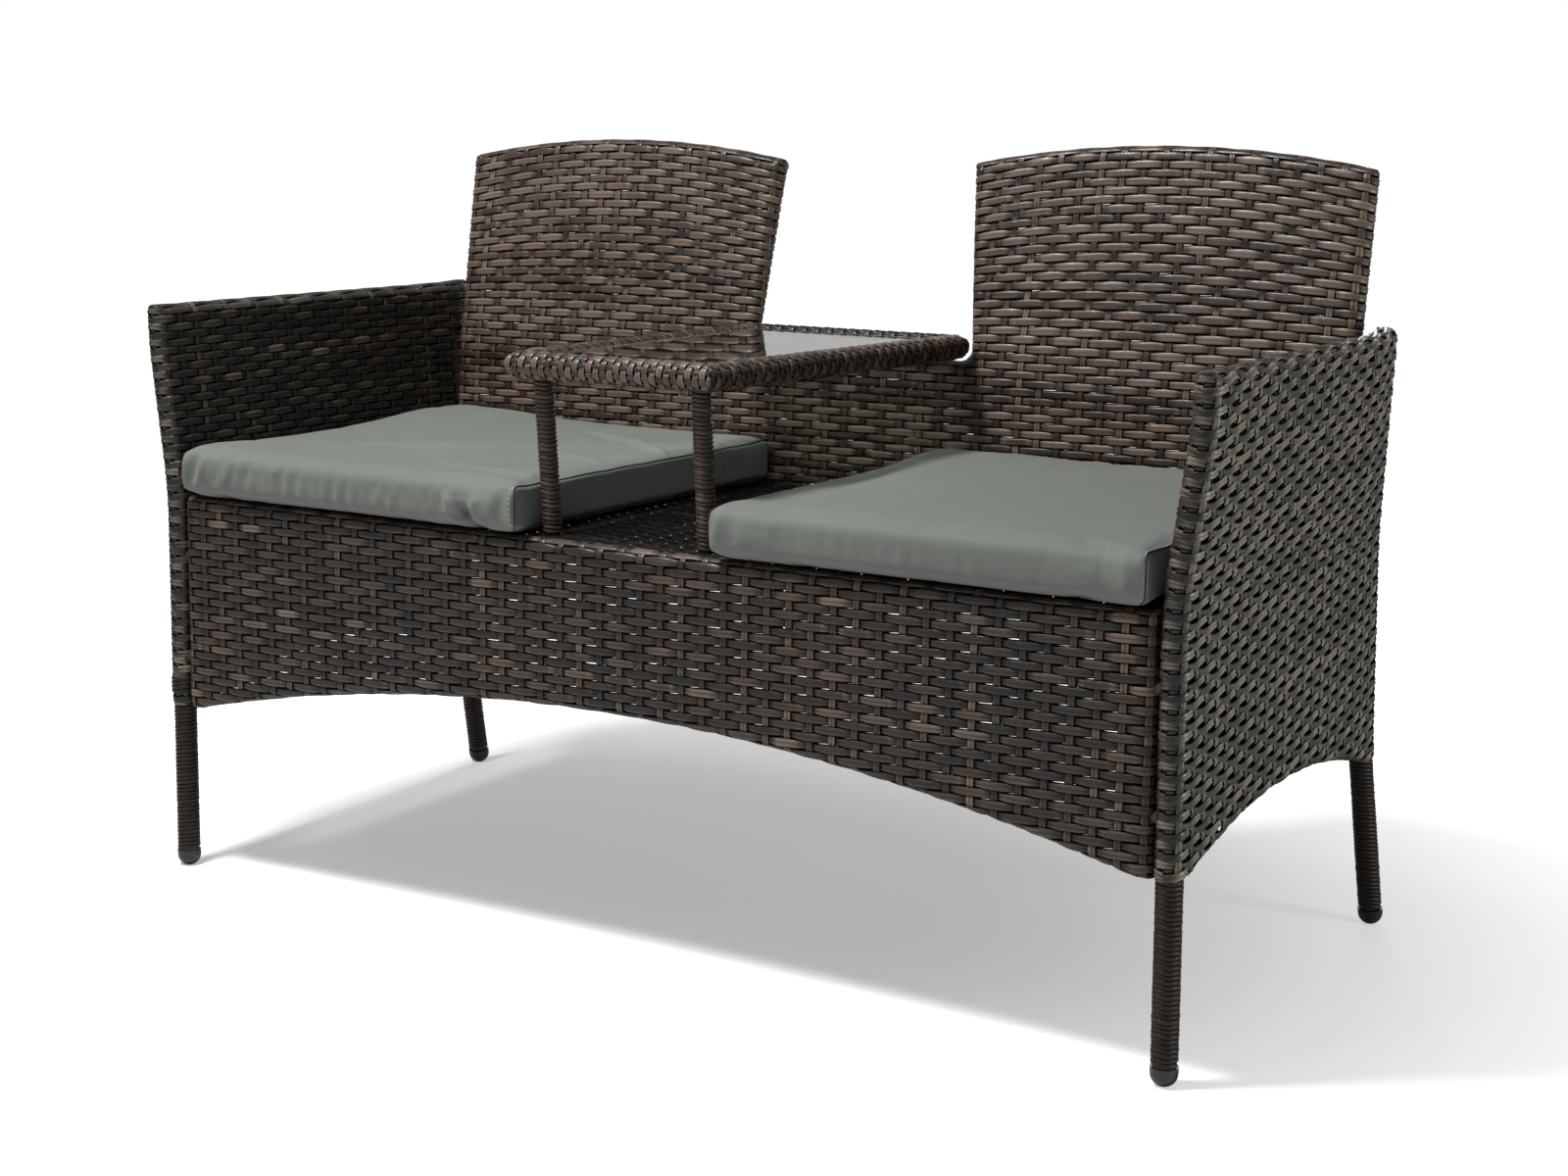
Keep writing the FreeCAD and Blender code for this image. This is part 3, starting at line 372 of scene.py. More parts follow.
@dataclass
class Weaver:
    """Lays strands over and under each other on a surface."""

    surface: Surface
    cloud: Cloud
    seed: int

    flat_top = 2.4  # how long a float stays at its full height
    stake_bend = 0.45  # how much flatter a stake's wave is than a cosine
    level_spread, width_spread = 0.08, 0.02  # unevenness of height and width, as shares
    row_spread, float_spread = 0.17, 0.14  # unevenness of tone from row to row and float to float
    sway_run = 37.0  # length of the slow sideways sway
    long_tone, short_tone = (0.12, 61.0, 3), (0.08, 23.0, 5)  # strength, length and phase of slow tone waves
    drift_step = 4.0  # half of the step that measures how a drift widens the rows
    # painted shade: a strand is darkened where it dives under the crossing strands
    weft_dip, stake_dip = 0.85, 0.7  # how much darker a strand is where it passes under
    grain_step = 13.7  # distance between the grains of neighbouring strands

    def __post_init__(self) -> None:
        """Start the weaver's own number source."""
        self.rng = np.random.default_rng(self.seed)

    def lay(self, rows: Array, span: tuple[float, float], crossing: float, origin: float, lift: float,
            strand: Strand, along: Along, steps: int,
            drift: Callable[[Array, Array], Array] | None = None, shade: float = 0.5,
            jitter: float = 0.2, slant: float = 0.25, tip: float = 0.0, edge: float = 0.0) -> None:
        """Lay parallel strands that pass over and under the crossing ones.

        Args:
            rows: place of each strand on the coordinate across it.
            span: first and last place along the strands.
            crossing: distance between the strands crossed.
            origin: place of one crossing.
            lift: how far a strand rises over the surface; negative for the other set.
            strand: the strand's section.
            along: the surface coordinate that the strands run along.
            steps: samples between crossings.
            drift: extra shift of a strand across its run.
            shade: middle tone of the strands; pieces set it as painted light and shade too, paler where light
                falls and darker where shade falls.
            jitter: how unevenly the strands lie, in millimetres.
            slant: how far each float leans across its run, in millimetres.
            tip: painted highlight, how much paler each float's far end is than its near end.
            edge: how much paler the strands are painted where they turn round an edge tube; a negative value
                paints shade there.
        """
        run = np.arange(span[0], span[1] + 1e-6, crossing / steps)[None, :]
        order = np.arange(len(rows))[:, None]
        phase = (run - origin) / crossing + order
        wave = np.cos(math.pi * phase)
        crest = np.floor(phase + 0.5).astype(int)
        crest = crest - crest.min()
        uneven = self.rng.normal(size=(len(rows), crest.max() + 2))
        own = np.take_along_axis(uneven, crest, axis=1)
        under = (1 - wave) / 2
        weft = lift > 0
        bend = 1 - 2 * under ** self.flat_top if weft else wave * (1.45 - self.stake_bend * wave ** 2)
        level = lift * bend * (1 + self.level_spread * own)
        rising = wave if weft else 0.0 * wave
        half = strand.width / 2 * (1 + strand.flare * rising) * (1 + self.width_spread * own)
        sway = self.rng.uniform(0, 6.28, (len(rows), 1))
        across = rows[:, None] + jitter * np.sin(run / self.sway_run + sway) + 0.5 * jitter * own * wave ** 2
        across = across + slant * np.sin(math.pi * phase)
        if drift is not None:
            across = across + drift(run, rows[:, None])
            step = self.drift_step
            stretch = drift(run, rows[:, None] + step) - drift(run, rows[:, None] - step)
            half = half * (1 + np.maximum(stretch / (2 * step), 0.0))
        tone_row = self.rng.normal(shade, self.row_spread, (len(rows), 1))
        first, second = (strength * np.sin(run / length + sway * turn)
                         for strength, length, turn in (self.long_tone, self.short_tone))
        slow = first + second
        # painted highlight: each float is paler towards its far end
        tone = tone_row + slow + self.float_spread * own + tip * np.sin(math.pi * phase)
        # painted shade where the strand passes under the crossing ones
        rise = 1 - self.weft_dip * under ** 4 if weft else 1 - self.stake_dip * (1 - under) ** 2
        long = np.broadcast_to(run, across.shape)
        places = (long, across) if along is Along.A else (across, long)
        tight = self.surface.tight(*places)
        level = level * (1 - tight)
        # painted light and shade where strands turn round an edge tube; the arms give a negative value,
        # painted shade
        tone = tone + edge * tight
        self.ribbon(long, across, half, level, strand, along, tone, rise * np.ones_like(across), order)

    def wind(self, start: float, stop: float, pitch: float, strand: Strand, steps: int,
             shade: float) -> None:
        """Wind one strand round a pole in a close helix.

        Args:
            start: lowest place along the pole.
            stop: highest place along the pole.
            pitch: rise in one turn.
            strand: the strand's section.
            steps: samples in one turn.
            shade: middle tone of the strand.
        """
        turns = (stop - start) / pitch
        count = int(turns * steps)
        share = np.linspace(0.0, turns, count + 1)[None, :]
        low = start + share * pitch
        uneven = self.rng.normal(size=int(turns) + 3)
        own = uneven[np.floor(share).astype(int)]
        half = strand.width / 2 * np.ones_like(share)
        level = 0.12 * own
        tone = shade + 0.1 * own + 0.08 * np.sin(share * 2.3)
        around = FULL_TURN * self.surface.radius
        self.ribbon(share * around, low, half, level, strand, Along.B, tone, np.ones_like(share),
                    np.zeros((1, 1)))

    def ribbon(self, run: Array, across: Array, half: Array, level: Array, strand: Strand,
               along: Along, tone: Array, rise: Array, order: Array) -> None:
        """Sweep the strand's section along centre lines on the surface."""
        share, height, opened = strand.section()
        wide = across[..., None] + half[..., None] * share
        long = np.broadcast_to(run[..., None], wide.shape)
        a, b = (long, wide) if along is Along.A else (wide, long)
        centre = (run, across) if along is Along.A else (across, run)
        normal = self.surface.normal(a, b)
        points = self.surface.place(a, b) + normal * (level[..., None] + height)[..., None]
        keep = self.surface.covers(*centre)
        rows, samples, corners = wide.shape
        index = np.arange(rows * samples * corners).reshape(rows, samples, corners)
        ahead = np.roll(index, -1, axis=2)
        quads = np.stack([index[:, :-1], index[:, 1:], ahead[:, 1:], ahead[:, :-1]], axis=-1)
        if along is Along.A:
            quads = quads[..., ::-1]
        both = keep[:, :-1] & keep[:, 1:]
        quads = quads[both].reshape(-1, 4)
        thin = np.isin(np.arange(corners), strand.thin_corners) & (not strand.coarse)
        edges = np.tile(thin, len(quads) // corners).astype(np.int32)
        strand_place = np.broadcast_to(order[..., None] * self.grain_step, wide.shape)
        grain = np.stack([long, half[..., None] * share, strand_place], axis=-1)
        tones = (tone[..., None] * np.ones(corners)).ravel()
        # rise times the corner's painted light gives the painted shade that the strand group reads
        self.cloud.add(points.reshape(-1, 3), quads, edges, tones, (rise[..., None] * opened).ravel(),
                       grain.reshape(-1, 3))


@dataclass(frozen=True)
class Weave:
    """Pitches and lifts of a plain weave of flat strands."""

    row: float = 8.8
    stake: float = 24.2
    weft_lift: float = 1.3
    stake_lift: float = 0.9
    weft: Strand = Strand()
    post: Strand = Strand(width=9.4, flare=0.0)
    steps: int = 6
    most_stakes = 30  # more than any sheet has on one side of the bench's middle

    def stakes(self, reach: float) -> Array:
        """Give the places of the stakes on both sides of the bench's middle, out to a reach."""
        places = np.arange(-self.most_stakes, self.most_stakes) * self.stake + self.stake / 2
        return places[np.abs(places) < reach]


PLAIN = Weave()


def hand_over(piece: bpy.types.Object, body: Body, material: bpy.types.Material,
              nodes: Sequence[str], edge: bpy.types.Material | None = None) -> None:
    """Dress a piece and tell the frame what it rides on and stands for.

    Args:
        piece: the new object.
        body: the body that it moves with.
        material: its finish.
        nodes: the nodes that it stands for.
        edge: the near-black material on its strands' thin edges, painted shade for the gaps between strands.
    """
    piece.data.materials.clear()
    piece.data.materials.append(material)
    if edge is not None:
        piece.data.materials.append(edge)
        index = np.zeros(len(piece.data.polygons), np.int32)
        piece.data.attributes["thin_edge"].data.foreach_get("value", index)
        piece.data.polygons.foreach_set("material_index", index)
    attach(piece, body.value)
    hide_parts(*nodes)
    LOG.info("piece %s with %d faces", piece.name, len(piece.data.polygons))


def hand_over_strands(cloud: Cloud, name: str, node: str, material: bpy.types.Material,
                      edge: bpy.types.Material | None = None, mirror: bool = False,
                      turned: bool = False) -> None:
    """Make a piece of the bench from gathered strands and hand it over."""
    hand_over(cloud.to_object(name, mirror, turned), Body.BENCH, material, [node], edge)


@dataclass
class Tree:
    """A small helper that builds a node tree."""

    nodes: bpy.types.Nodes
    links: bpy.types.NodeLinks

    def add(self, kind: str, **settings: object) -> bpy.types.Node:
        """Add a node; settings name its properties or, capitalised, its inputs."""
        node = self.nodes.new(kind)
        for title, value in settings.items():
            if hasattr(node, title):
                setattr(node, title, value)
            else:
                node.inputs[title.replace("_", " ").title()].default_value = value
        return node

    def join(self, out: Socket, into: Socket) -> None:
        """Link two sockets."""
        self.links.new(out, into)

    def feed(self, socket: Socket, value: object) -> None:
        """Link a value's socket, or set a plain value."""
        if isinstance(value, Socket):
            self.links.new(value, socket)
        else:
            socket.default_value = value

    def sums(self, operation: str, first: object, second: object) -> Socket:
        """Add a maths node and give its result."""
        node = self.add("ShaderNodeMath", operation=operation)
        self.feed(node.inputs[0], first)
        self.feed(node.inputs[1], second)
        return node.outputs[0]

    def shifted(self, operation: str, place: Socket, by: Triple) -> Socket:
        """Add or multiply a place by a fixed vector."""
        node = self.add("ShaderNodeVectorMath", operation=operation)
        self.feed(node.inputs[0], place)
        self.feed(node.inputs[1], by)
        return node.outputs[0]

    def noise(self, place: Socket, scale: object, detail: float, roughness: float = 0.5) -> Socket:
        """Add a noise texture read at a place."""
        node = self.add("ShaderNodeTexNoise", Detail=detail, Roughness=roughness)
        self.feed(node.inputs["Scale"], scale)
        self.feed(node.inputs["Vector"], place)
        return node.outputs[0]

    def blend(self, share: object, first: object, second: object, kind: str = "MIX") -> Socket:
        """Mix two colours by a share held between 0 and 1."""
        node = self.add("ShaderNodeMix", data_type="RGBA", blend_type=kind, clamp_factor=True)
        for index, value in ((0, share), (6, first), (7, second)):
            self.feed(node.inputs[index], value)
        return node.outputs[2]

    def remap(self, value: Socket, start: tuple[float, float], end: tuple[float, float],
              **settings: object) -> Socket:
        """Map a value from one range to another, held at both ends."""
        node = self.add("ShaderNodeMapRange", clamp=True, **settings)
        titles = ("Value", "From Min", "From Max", "To Min", "To Max")
        for title, number in zip(titles, (value, *start, *end)):
            self.feed(node.inputs[title], number)
        return node.outputs[0]


def preset(node: bpy.types.Node, values: dict[str, object]) -> None:
    """Set several inputs of a node by name."""
    for title, value in values.items():
        node.inputs[title].default_value = value


def new_group(name: str, inputs: Sequence[tuple[str, str, object]],
              outputs: Sequence[tuple[str, str]]) -> tuple[bpy.types.NodeTree, Tree]:
    """Start a shader node group with named sockets.

    Args:
        name: the group's name.
        inputs: socket name, kind and starting value of each input.
        outputs: socket name and kind of each output.
    Returns:
        The group and the helper that builds in it.
    """
    group = bpy.data.node_groups.new(name, "ShaderNodeTree")
    for title, kind, value in inputs:
        socket = group.interface.new_socket(name=title, in_out="INPUT", socket_type=kind)
        if value is not None:
            socket.default_value = value
    for title, kind in outputs:
        group.interface.new_socket(name=title, in_out="OUTPUT", socket_type=kind)
    return group, Tree(group.nodes, group.links)


def strand_group() -> bpy.types.NodeTree:
    """Build the group that colours a strand from its tone and grain and darkens it with painted shade from
    rise.
    """
    group, tree = new_group(
        "strand_look",
        [("Tone", "NodeSocketFloat", 0.5), ("Rise", "NodeSocketFloat", 1.0),
         ("Grain", "NodeSocketVector", None), ("Dark", "NodeSocketColor", (0.02, 0.016, 0.014, 1)),
         ("Middle", "NodeSocketColor", (0.06, 0.04, 0.03, 1)),
         ("Light", "NodeSocketColor", (0.09, 0.07, 0.055, 1)), ("Roughness", "NodeSocketFloat", 0.4)],
        [("Color", "NodeSocketColor"), ("Roughness", "NodeSocketFloat"), ("Height", "NodeSocketFloat")])
    source, sink = tree.add("NodeGroupInput"), tree.add("NodeGroupOutput")
    given = source.outputs
    streak = tree.noise(tree.shifted("MULTIPLY", given["Grain"], (0.02, 0.9, 0.31)), 1.0, 4.0, 0.62)
    lines = tree.noise(tree.shifted("MULTIPLY", given["Grain"], (0.06, 4.5, 0.31)), 1.0, 2.0)
    uneven = tree.sums("SUBTRACT", streak, 0.5)
    mottled = tree.sums("ADD", given["Tone"], tree.sums("MULTIPLY", uneven, 0.9))
    twice = tree.sums("MULTIPLY", mottled, 2.0)
    low = tree.blend(twice, given["Dark"], given["Middle"])
    high = tree.blend(tree.sums("SUBTRACT", twice, 1.0), low, given["Light"])
    # painted shade: rise darkens the strand down to 3 percent where it dives under another, on its thin edges
    # and in its groove
    dim = tree.remap(given["Rise"], (0.12, 0.9), (0.03, 1.0))
    tree.join(tree.blend(1.0, high, dim, "MULTIPLY"), sink.inputs["Color"])
    rough = tree.sums("ADD", given["Roughness"], tree.sums("MULTIPLY", uneven, 0.35))
    rough = tree.sums("ADD", rough, tree.sums("MULTIPLY", tree.sums("SUBTRACT", 1.0, dim), 0.65))
    tree.join(rough, sink.inputs["Roughness"])
    tree.join(tree.sums("ADD", tree.sums("MULTIPLY", lines, 0.7), tree.sums("MULTIPLY", streak, 0.3)),
              sink.inputs["Height"])
    return group


def dust_group() -> bpy.types.NodeTree:
    """Build the group that varies a smooth finish with fine and coarse spots."""
    group, tree = new_group(
        "spotting",
        [("Base", "NodeSocketColor", (0.05, 0.05, 0.05, 1)), ("Scale", "NodeSocketFloat", 300.0),
         ("Spread", "NodeSocketFloat", 0.3), ("Roughness", "NodeSocketFloat", 0.5)],
        [("Color", "NodeSocketColor"), ("Roughness", "NodeSocketFloat"), ("Height", "NodeSocketFloat")])
    source, sink = tree.add("NodeGroupInput"), tree.add("NodeGroupOutput")
    place = tree.add("ShaderNodeTexCoord").outputs["Object"]
    fine, broad = tree.noise(place, source.outputs["Scale"], 3.0), tree.noise(place, 22.0, 3.0)
    both = tree.sums("ADD", tree.sums("SUBTRACT", fine, 0.5), tree.sums("SUBTRACT", broad, 0.5))
    spread = tree.sums("MULTIPLY", both, source.outputs["Spread"])
    hue = tree.add("ShaderNodeHueSaturation")
    tree.join(tree.sums("ADD", spread, 1.0), hue.inputs["Value"])
    tree.join(source.outputs["Base"], hue.inputs["Color"])
    tree.join(hue.outputs[0], sink.inputs["Color"])
    tree.join(tree.sums("ADD", source.outputs["Roughness"], tree.sums("MULTIPLY", spread, 0.5)),
              sink.inputs["Roughness"])
    tree.join(fine, sink.inputs["Height"])
    return group


def start_material(name: str) -> tuple[bpy.types.Material, Tree, bpy.types.Node]:
    """Start a material and give its tree and its Principled shader."""
    material = bpy.data.materials.new(name)
    material.use_nodes = True
    tree = Tree(material.node_tree.nodes, material.node_tree.links)
    return material, tree, tree.nodes["Principled BSDF"]


def add_bump(tree: Tree, height: Socket, shader: bpy.types.Node, strength: float,
             distance: float) -> None:
    """Send a height to the shader's normal through a bump node."""
    bump = tree.add("ShaderNodeBump", Strength=strength, Distance=distance)
    tree.join(height, bump.inputs["Height"])
    tree.join(bump.outputs[0], shader.inputs["Normal"])


@dataclass(frozen=True)
class WickerFinish:
    """Satin plastic strand, mottled dark brown."""

    name: str = "wicker_strand"
    dark: Triple = (0.0065, 0.0041, 0.0031)
    middle: Triple = (0.043, 0.0245, 0.0165)
    light: Triple = (0.180, 0.128, 0.100)
    roughness: float = 0.23
    specular: float = 0.42

    def material(self, look: bpy.types.NodeTree) -> bpy.types.Material:
        """Build the strand material from the shared group."""
        material, tree, shader = start_material(self.name)
        group = tree.add("ShaderNodeGroup", node_tree=look)
        for title in ("tone", "rise", "grain"):
            layer = tree.add("ShaderNodeAttribute", attribute_name=title)
            out = "Vector" if title == "grain" else "Fac"
            tree.join(layer.outputs[out], group.inputs[title.title()])
        for title, colour in (("Dark", self.dark), ("Middle", self.middle), ("Light", self.light)):
            group.inputs[title].default_value = (*colour, 1.0)
        group.inputs["Roughness"].default_value = self.roughness
        shader.inputs["Specular IOR Level"].default_value = self.specular
        tree.join(group.outputs["Color"], shader.inputs["Base Color"])
        tree.join(group.outputs["Roughness"], shader.inputs["Roughness"])
        add_bump(tree, group.outputs["Height"], shader, 0.35, 0.0006)
        return material


@dataclass(frozen=True)
class CoatFinish:
    """A smooth coat, moulded plastic or metal with fine spotting."""

    name: str
    base: Triple
    roughness: float
    metallic: float = 0.0
    scale: float = 400.0
    spread: float = 0.25
    bump: float = 0.15

    def material(self, look: bpy.types.NodeTree) -> bpy.types.Material:
        """Build the material from the shared spotting group."""
        material, tree, shader = start_material(self.name)
        group = tree.add("ShaderNodeGroup", node_tree=look)
        preset(group, {"Base": (*self.base, 1.0), "Scale": self.scale, "Spread": self.spread,
                       "Roughness": self.roughness})
        preset(shader, {"Metallic": self.metallic})
        tree.join(group.outputs["Color"], shader.inputs["Base Color"])
        tree.join(group.outputs["Roughness"], shader.inputs["Roughness"])
        add_bump(tree, group.outputs["Height"], shader, self.bump, 0.0004)
        return material


@dataclass(frozen=True)
class ClothFinish:
    """Plain woven grey polyester with a soft sheen."""

    name: str = "cushion_weave"
    base: Triple = (0.150, 0.160, 0.149)
    seam: Triple = (0.035, 0.040, 0.040)
    thread_scale: float = 314.0
    roughness: float = 0.72

    def material(self) -> bpy.types.Material:
        """Build the cloth material: a fine plain weave with mottling and dark seams."""
        material, tree, shader = start_material(self.name)
        place = tree.add("ShaderNodeTexCoord").outputs["Object"]
        waves = []
        for direction in ("X", "Y", "Z"):
            wave = tree.add("ShaderNodeTexWave", wave_type="BANDS", bands_direction=direction,
                            Scale=self.thread_scale, Distortion=0.6, Detail=1.0)
            tree.join(place, wave.inputs["Vector"])
            waves.append(wave.outputs["Fac"])
        crossed = tree.sums("ADD", tree.sums("ADD", waves[0], waves[1]), waves[2])
        threads = tree.sums("MULTIPLY", crossed, 0.33)
        cloudy, flecks = tree.noise(place, 9.0, 5.0, 0.6), tree.noise(place, 900.0, 2.0)
        value = tree.sums("ADD", tree.sums("MULTIPLY", cloudy, 0.20), tree.sums("MULTIPLY", flecks, 0.30))
        value = tree.sums("ADD", value, tree.sums("MULTIPLY", threads, 0.10))
        hue = tree.add("ShaderNodeHueSaturation")
        hue.inputs["Color"].default_value = (*self.base, 1.0)
        tree.join(tree.sums("ADD", value, 0.70), hue.inputs["Value"])
        mask = tree.add("ShaderNodeAttribute", attribute_name="seam")
        colour = tree.blend(mask.outputs["Fac"], hue.outputs[0], (*self.seam, 1.0))
        tree.join(colour, shader.inputs["Base Color"])
        preset(shader, {"Roughness": self.roughness, "Sheen Weight": 0.15, "Sheen Roughness": 0.4,
                        "Specular IOR Level": 0.3})
        add_bump(tree, threads, shader, 0.3, 0.0003)
        return material


@dataclass(frozen=True)
class GlassFinish:
    """Clear tempered glass with a faint grey green tint."""

    name: str = "table_glass"
    tint: Triple = (0.88, 0.93, 0.86)

    def material(self) -> bpy.types.Material:
        """Build the glass material with faint smears in its gloss."""
        material, tree, shader = start_material(self.name)
        smear = tree.noise(tree.add("ShaderNodeTexCoord").outputs["Object"], 14.0, 3.0)
        tree.join(tree.remap(smear, (0.4, 0.7), (0.0, 0.035)), shader.inputs["Roughness"])
        preset(shader, {"Base Color": (*self.tint, 1.0), "Transmission Weight": 1.0, "IOR": 1.5})
        return material


@dataclass
class Finishes:
    """Every finish of the bench, built once."""

    def __post_init__(self) -> None:
        """Build the shared groups and the materials."""
        strand, spots = strand_group(), dust_group()
        self.wicker, self.leg_wicker, self.deck_wicker, self.arm_wicker, self.edge = (
            finish.material(strand) for finish in (
                WickerFinish(),
                WickerFinish("wicker_leg_strand", (0.004, 0.0022, 0.0016), (0.018, 0.0080, 0.0046),
                             (0.045, 0.021, 0.013), 0.32, 0.26),
                # painted shade: a darker, duller copy for the seat deck, which lies in shade under the
                # cushions and table
                WickerFinish("wicker_deck_strand", (0.003, 0.0022, 0.0018), (0.010, 0.0068, 0.0052),
                             (0.036, 0.026, 0.021), 0.5, 0.12),
                # painted light: a paler, greener copy for the arm sides, standing in for the cool light from
                # the side
                WickerFinish("wicker_arm_strand", (0.006, 0.0048, 0.0037), (0.040, 0.0300, 0.0220),
                             (0.195, 0.160, 0.128)),
                # painted shade: a near-black, almost glossless copy for the strands' thin edges, standing in
                # for the shade in the gaps between rows
                WickerFinish("wicker_strand_edge", (0.003, 0.002, 0.0016), (0.005, 0.0034, 0.0026),
                             (0.009, 0.006, 0.0045), 0.7, 0.05)))
        self.cloth = ClothFinish().material()
        self.glass = GlassFinish().material()
        self.thread = CoatFinish("pale_thread", (0.50, 0.51, 0.48), 0.8, scale=900.0).material(spots)
        self.seam = CoatFinish("dark_seam_cord", (0.012, 0.013, 0.013), 0.8, scale=900.0).material(spots)
        self.coats = {
            "frame_coat": CoatFinish("frame_powder_coat", (0.022, 0.018, 0.016), 0.42, bump=0.25),
            "foot_cap": CoatFinish("black_foot_cap", (0.008, 0.008, 0.008), 0.32, bump=0.05),
            "clear_pad": CoatFinish("soft_pad", (0.05, 0.05, 0.05), 0.6),
            "cushion_foam": CoatFinish("cushion_foam", (0.7, 0.68, 0.6), 0.95, scale=200.0),
            "bolt_head": CoatFinish("black_bolt", (0.012, 0.012, 0.012), 0.3, metallic=0.6),
            "washer": CoatFinish("black_washer", (0.02, 0.02, 0.02), 0.38, metallic=0.6),
            "insert": CoatFinish("zinc_insert", (0.5, 0.5, 0.5), 0.35, metallic=1.0),
            "plug": CoatFinish("moulded_plug", (0.012, 0.012, 0.012), 0.5),
            "bush": CoatFinish("moulded_spacer", (0.014, 0.014, 0.014), 0.5),
        }
        self.coats = {slot: coat.material(spots) for slot, coat in self.coats.items()}
        self.coats["dark_glass"] = self.glass

    def dress_nodes(self) -> None:
        """Give every solid that stays in view its finish."""
        slots = {entry["node"]: entry["material_slot"] for entry in frame["record"]["subparts"]}
        for node, piece in frame["nodes"].items():
            material = self.coats.get(slots.get(node, ""), self.wicker)
            piece.data.materials.clear()
            piece.data.materials.append(material)
            piece.data.shade_smooth()
            smooth = piece.modifiers.new("edges", "EDGE_SPLIT")
            smooth.split_angle = math.radians(35)


def straight_away(sign: float, edge: float, on_a: bool) -> AwayRule:
    """Make the distance rule of a straight edge.

    Args:
        sign: 1 where the sheet lies on the lower side of the edge, -1 on the upper side.
        edge: the edge's place.
        on_a: whether the edge is a place on a; otherwise on b.
    Returns:
        The rule for a fold.
    """
    def rule(a: Array, b: Array) -> Away:
        """Give the distance in from the straight edge."""
        value = a if on_a else b
        inward = -sign * np.ones_like(value)
        zero = np.zeros_like(value)
        away = sign * (edge - value)
        return (away, inward, zero) if on_a else (away, zero, inward)
    return rule


@dataclass
class Apron:
    """The woven front below the seat, with its arched lower edge."""

    tube: float = 11.0
    rod: float = 6.0
    rail_z: float = 413.0
    rail_y: float = -263.0
    post_x: float = 560.5
    end_z: float = 188.0
    arch_z: float = 258.0
    fade: float = 16.0
    end_gap: float = 1.0
    lean_from, lean_rate, lean_most = 430.0, 0.0155, 5.0  # how the ends follow the leaning front legs

    def arch(self, x: Array) -> tuple[Array, Array]:
        """Give the lower edge's height and slope at x."""
        held = np.clip(x, -self.post_x, self.post_x)
        height, slope = arc(held, self.post_x, self.arch_z - self.end_z, self.arch_z)
        return height, slope * np.clip((self.post_x - np.abs(x)) / self.fade, 0.0, 1.0)

    def arch_away(self, a: Array, b: Array) -> Away:
        """Give the distance rule of the arched edge."""
        return above_edge(b, *self.arch(a))

    def surface(self) -> Sheet:
        """Give the apron's folded sheet."""
        front = self.rail_y - self.tube

        def spread(a: Array, b: Array, depth: Array) -> Array:
            """Give the point at a place on the flat front."""
            return np.stack([a, front + depth, b], axis=-1)

        def end(sign: float) -> AwayRule:
            """Make the distance rule of the end on one side."""
            def rule(a: Array, b: Array) -> Away:
                """Give the distance in from the leaning end."""
                lean = np.clip((self.lean_from - b) * self.lean_rate, 0.0, self.lean_most)
                edge = self.post_x + self.tube + self.end_gap + lean
                zero = np.zeros_like(a)
                return edge - sign * a, zero - sign, zero
            return rule

        return Sheet(spread, [
            Fold(self.tube, 2.6, straight_away(1, self.rail_z + self.tube, False)),
            Fold(self.rod, 3.9, self.arch_away),
            Fold(self.tube, 4.2, end(1.0)),
            Fold(self.tube, 4.2, end(-1.0))])

    def build(self, finishes: Finishes) -> None:
        """Weave the apron."""
        surface = self.surface()
        reach = self.post_x + 4.3 * self.tube
        top = self.rail_z + 2.7 * self.tube
        rows = np.arange(top, self.end_z - 22, -PLAIN.row)
        stakes = PLAIN.stakes(reach)
        wefts, posts = Cloud(), Cloud()
        # painted shade: the upright apron gets a darker middle tone than the leaning back
        Weaver(surface, wefts, 11).lay(rows, (-reach, reach), PLAIN.stake, stakes[0], PLAIN.weft_lift,
                                       Strand(width=9.3), Along.A, PLAIN.steps, shade=0.34)
        Weaver(surface, posts, 12).lay(stakes, (self.end_z - 24, top), PLAIN.row, rows[0], -PLAIN.stake_lift,
                                       PLAIN.post, Along.B, 2, shade=0.42, slant=0.0)
        hand_over_strands(wefts, "apron_wefts", "apron_weave", finishes.wicker, finishes.edge)
        hand_over_strands(posts, "apron_stakes", "apron_weave", finishes.wicker, finishes.edge)


@dataclass
class SeatDeck:
    """The woven seat deck under the cushions."""

    tube: float = 9.4
    half: float = 555.0
    front_y: float = -259.0
    rail_z: float = 414.0
    rear_y: float = 185.2
    weave: Strand = Strand(width=9.2, coarse=True)

    def build(self, finishes: Finishes) -> None:
        """Weave the seat deck."""
        top = self.rail_z + self.tube

        def spread(a: Array, b: Array, depth: Array) -> Array:
            """Give the point at a place on the level deck."""
            return np.stack([a, b, top - depth], axis=-1)

        edge = self.half + self.tube
        surface = Sheet(spread, [Fold(self.tube, 3.3, straight_away(1, self.rear_y + self.tube, False)),
                                 Fold(self.tube, 3.3, straight_away(1, edge, True)),
                                 Fold(self.tube, 3.3, straight_away(-1, -edge, True))])
        reach = self.half + 3.2 * self.tube
        rows = np.arange(self.front_y, self.rear_y + 3 * self.tube, PLAIN.row)
        stakes = PLAIN.stakes(reach)
        wefts, posts = Cloud(), Cloud()
        # painted shade: the deck's strands get a very low middle tone
        Weaver(surface, wefts, 21).lay(rows, (-reach, reach), PLAIN.stake, stakes[0], 0.95, self.weave,
                                       Along.A, 4, shade=0.12)
        Weaver(surface, posts, 22).lay(stakes, (self.front_y, self.rear_y + 3 * self.tube), PLAIN.row,
                                       rows[0], -0.45, Strand(width=9.0, flare=0.0, coarse=True),
                                       Along.B, 2, shade=0.1, slant=0.0)
        hand_over_strands(wefts, "seat_wefts", "seat_weave", finishes.deck_wicker)
        hand_over_strands(posts, "seat_stakes", "seat_weave", finishes.deck_wicker)


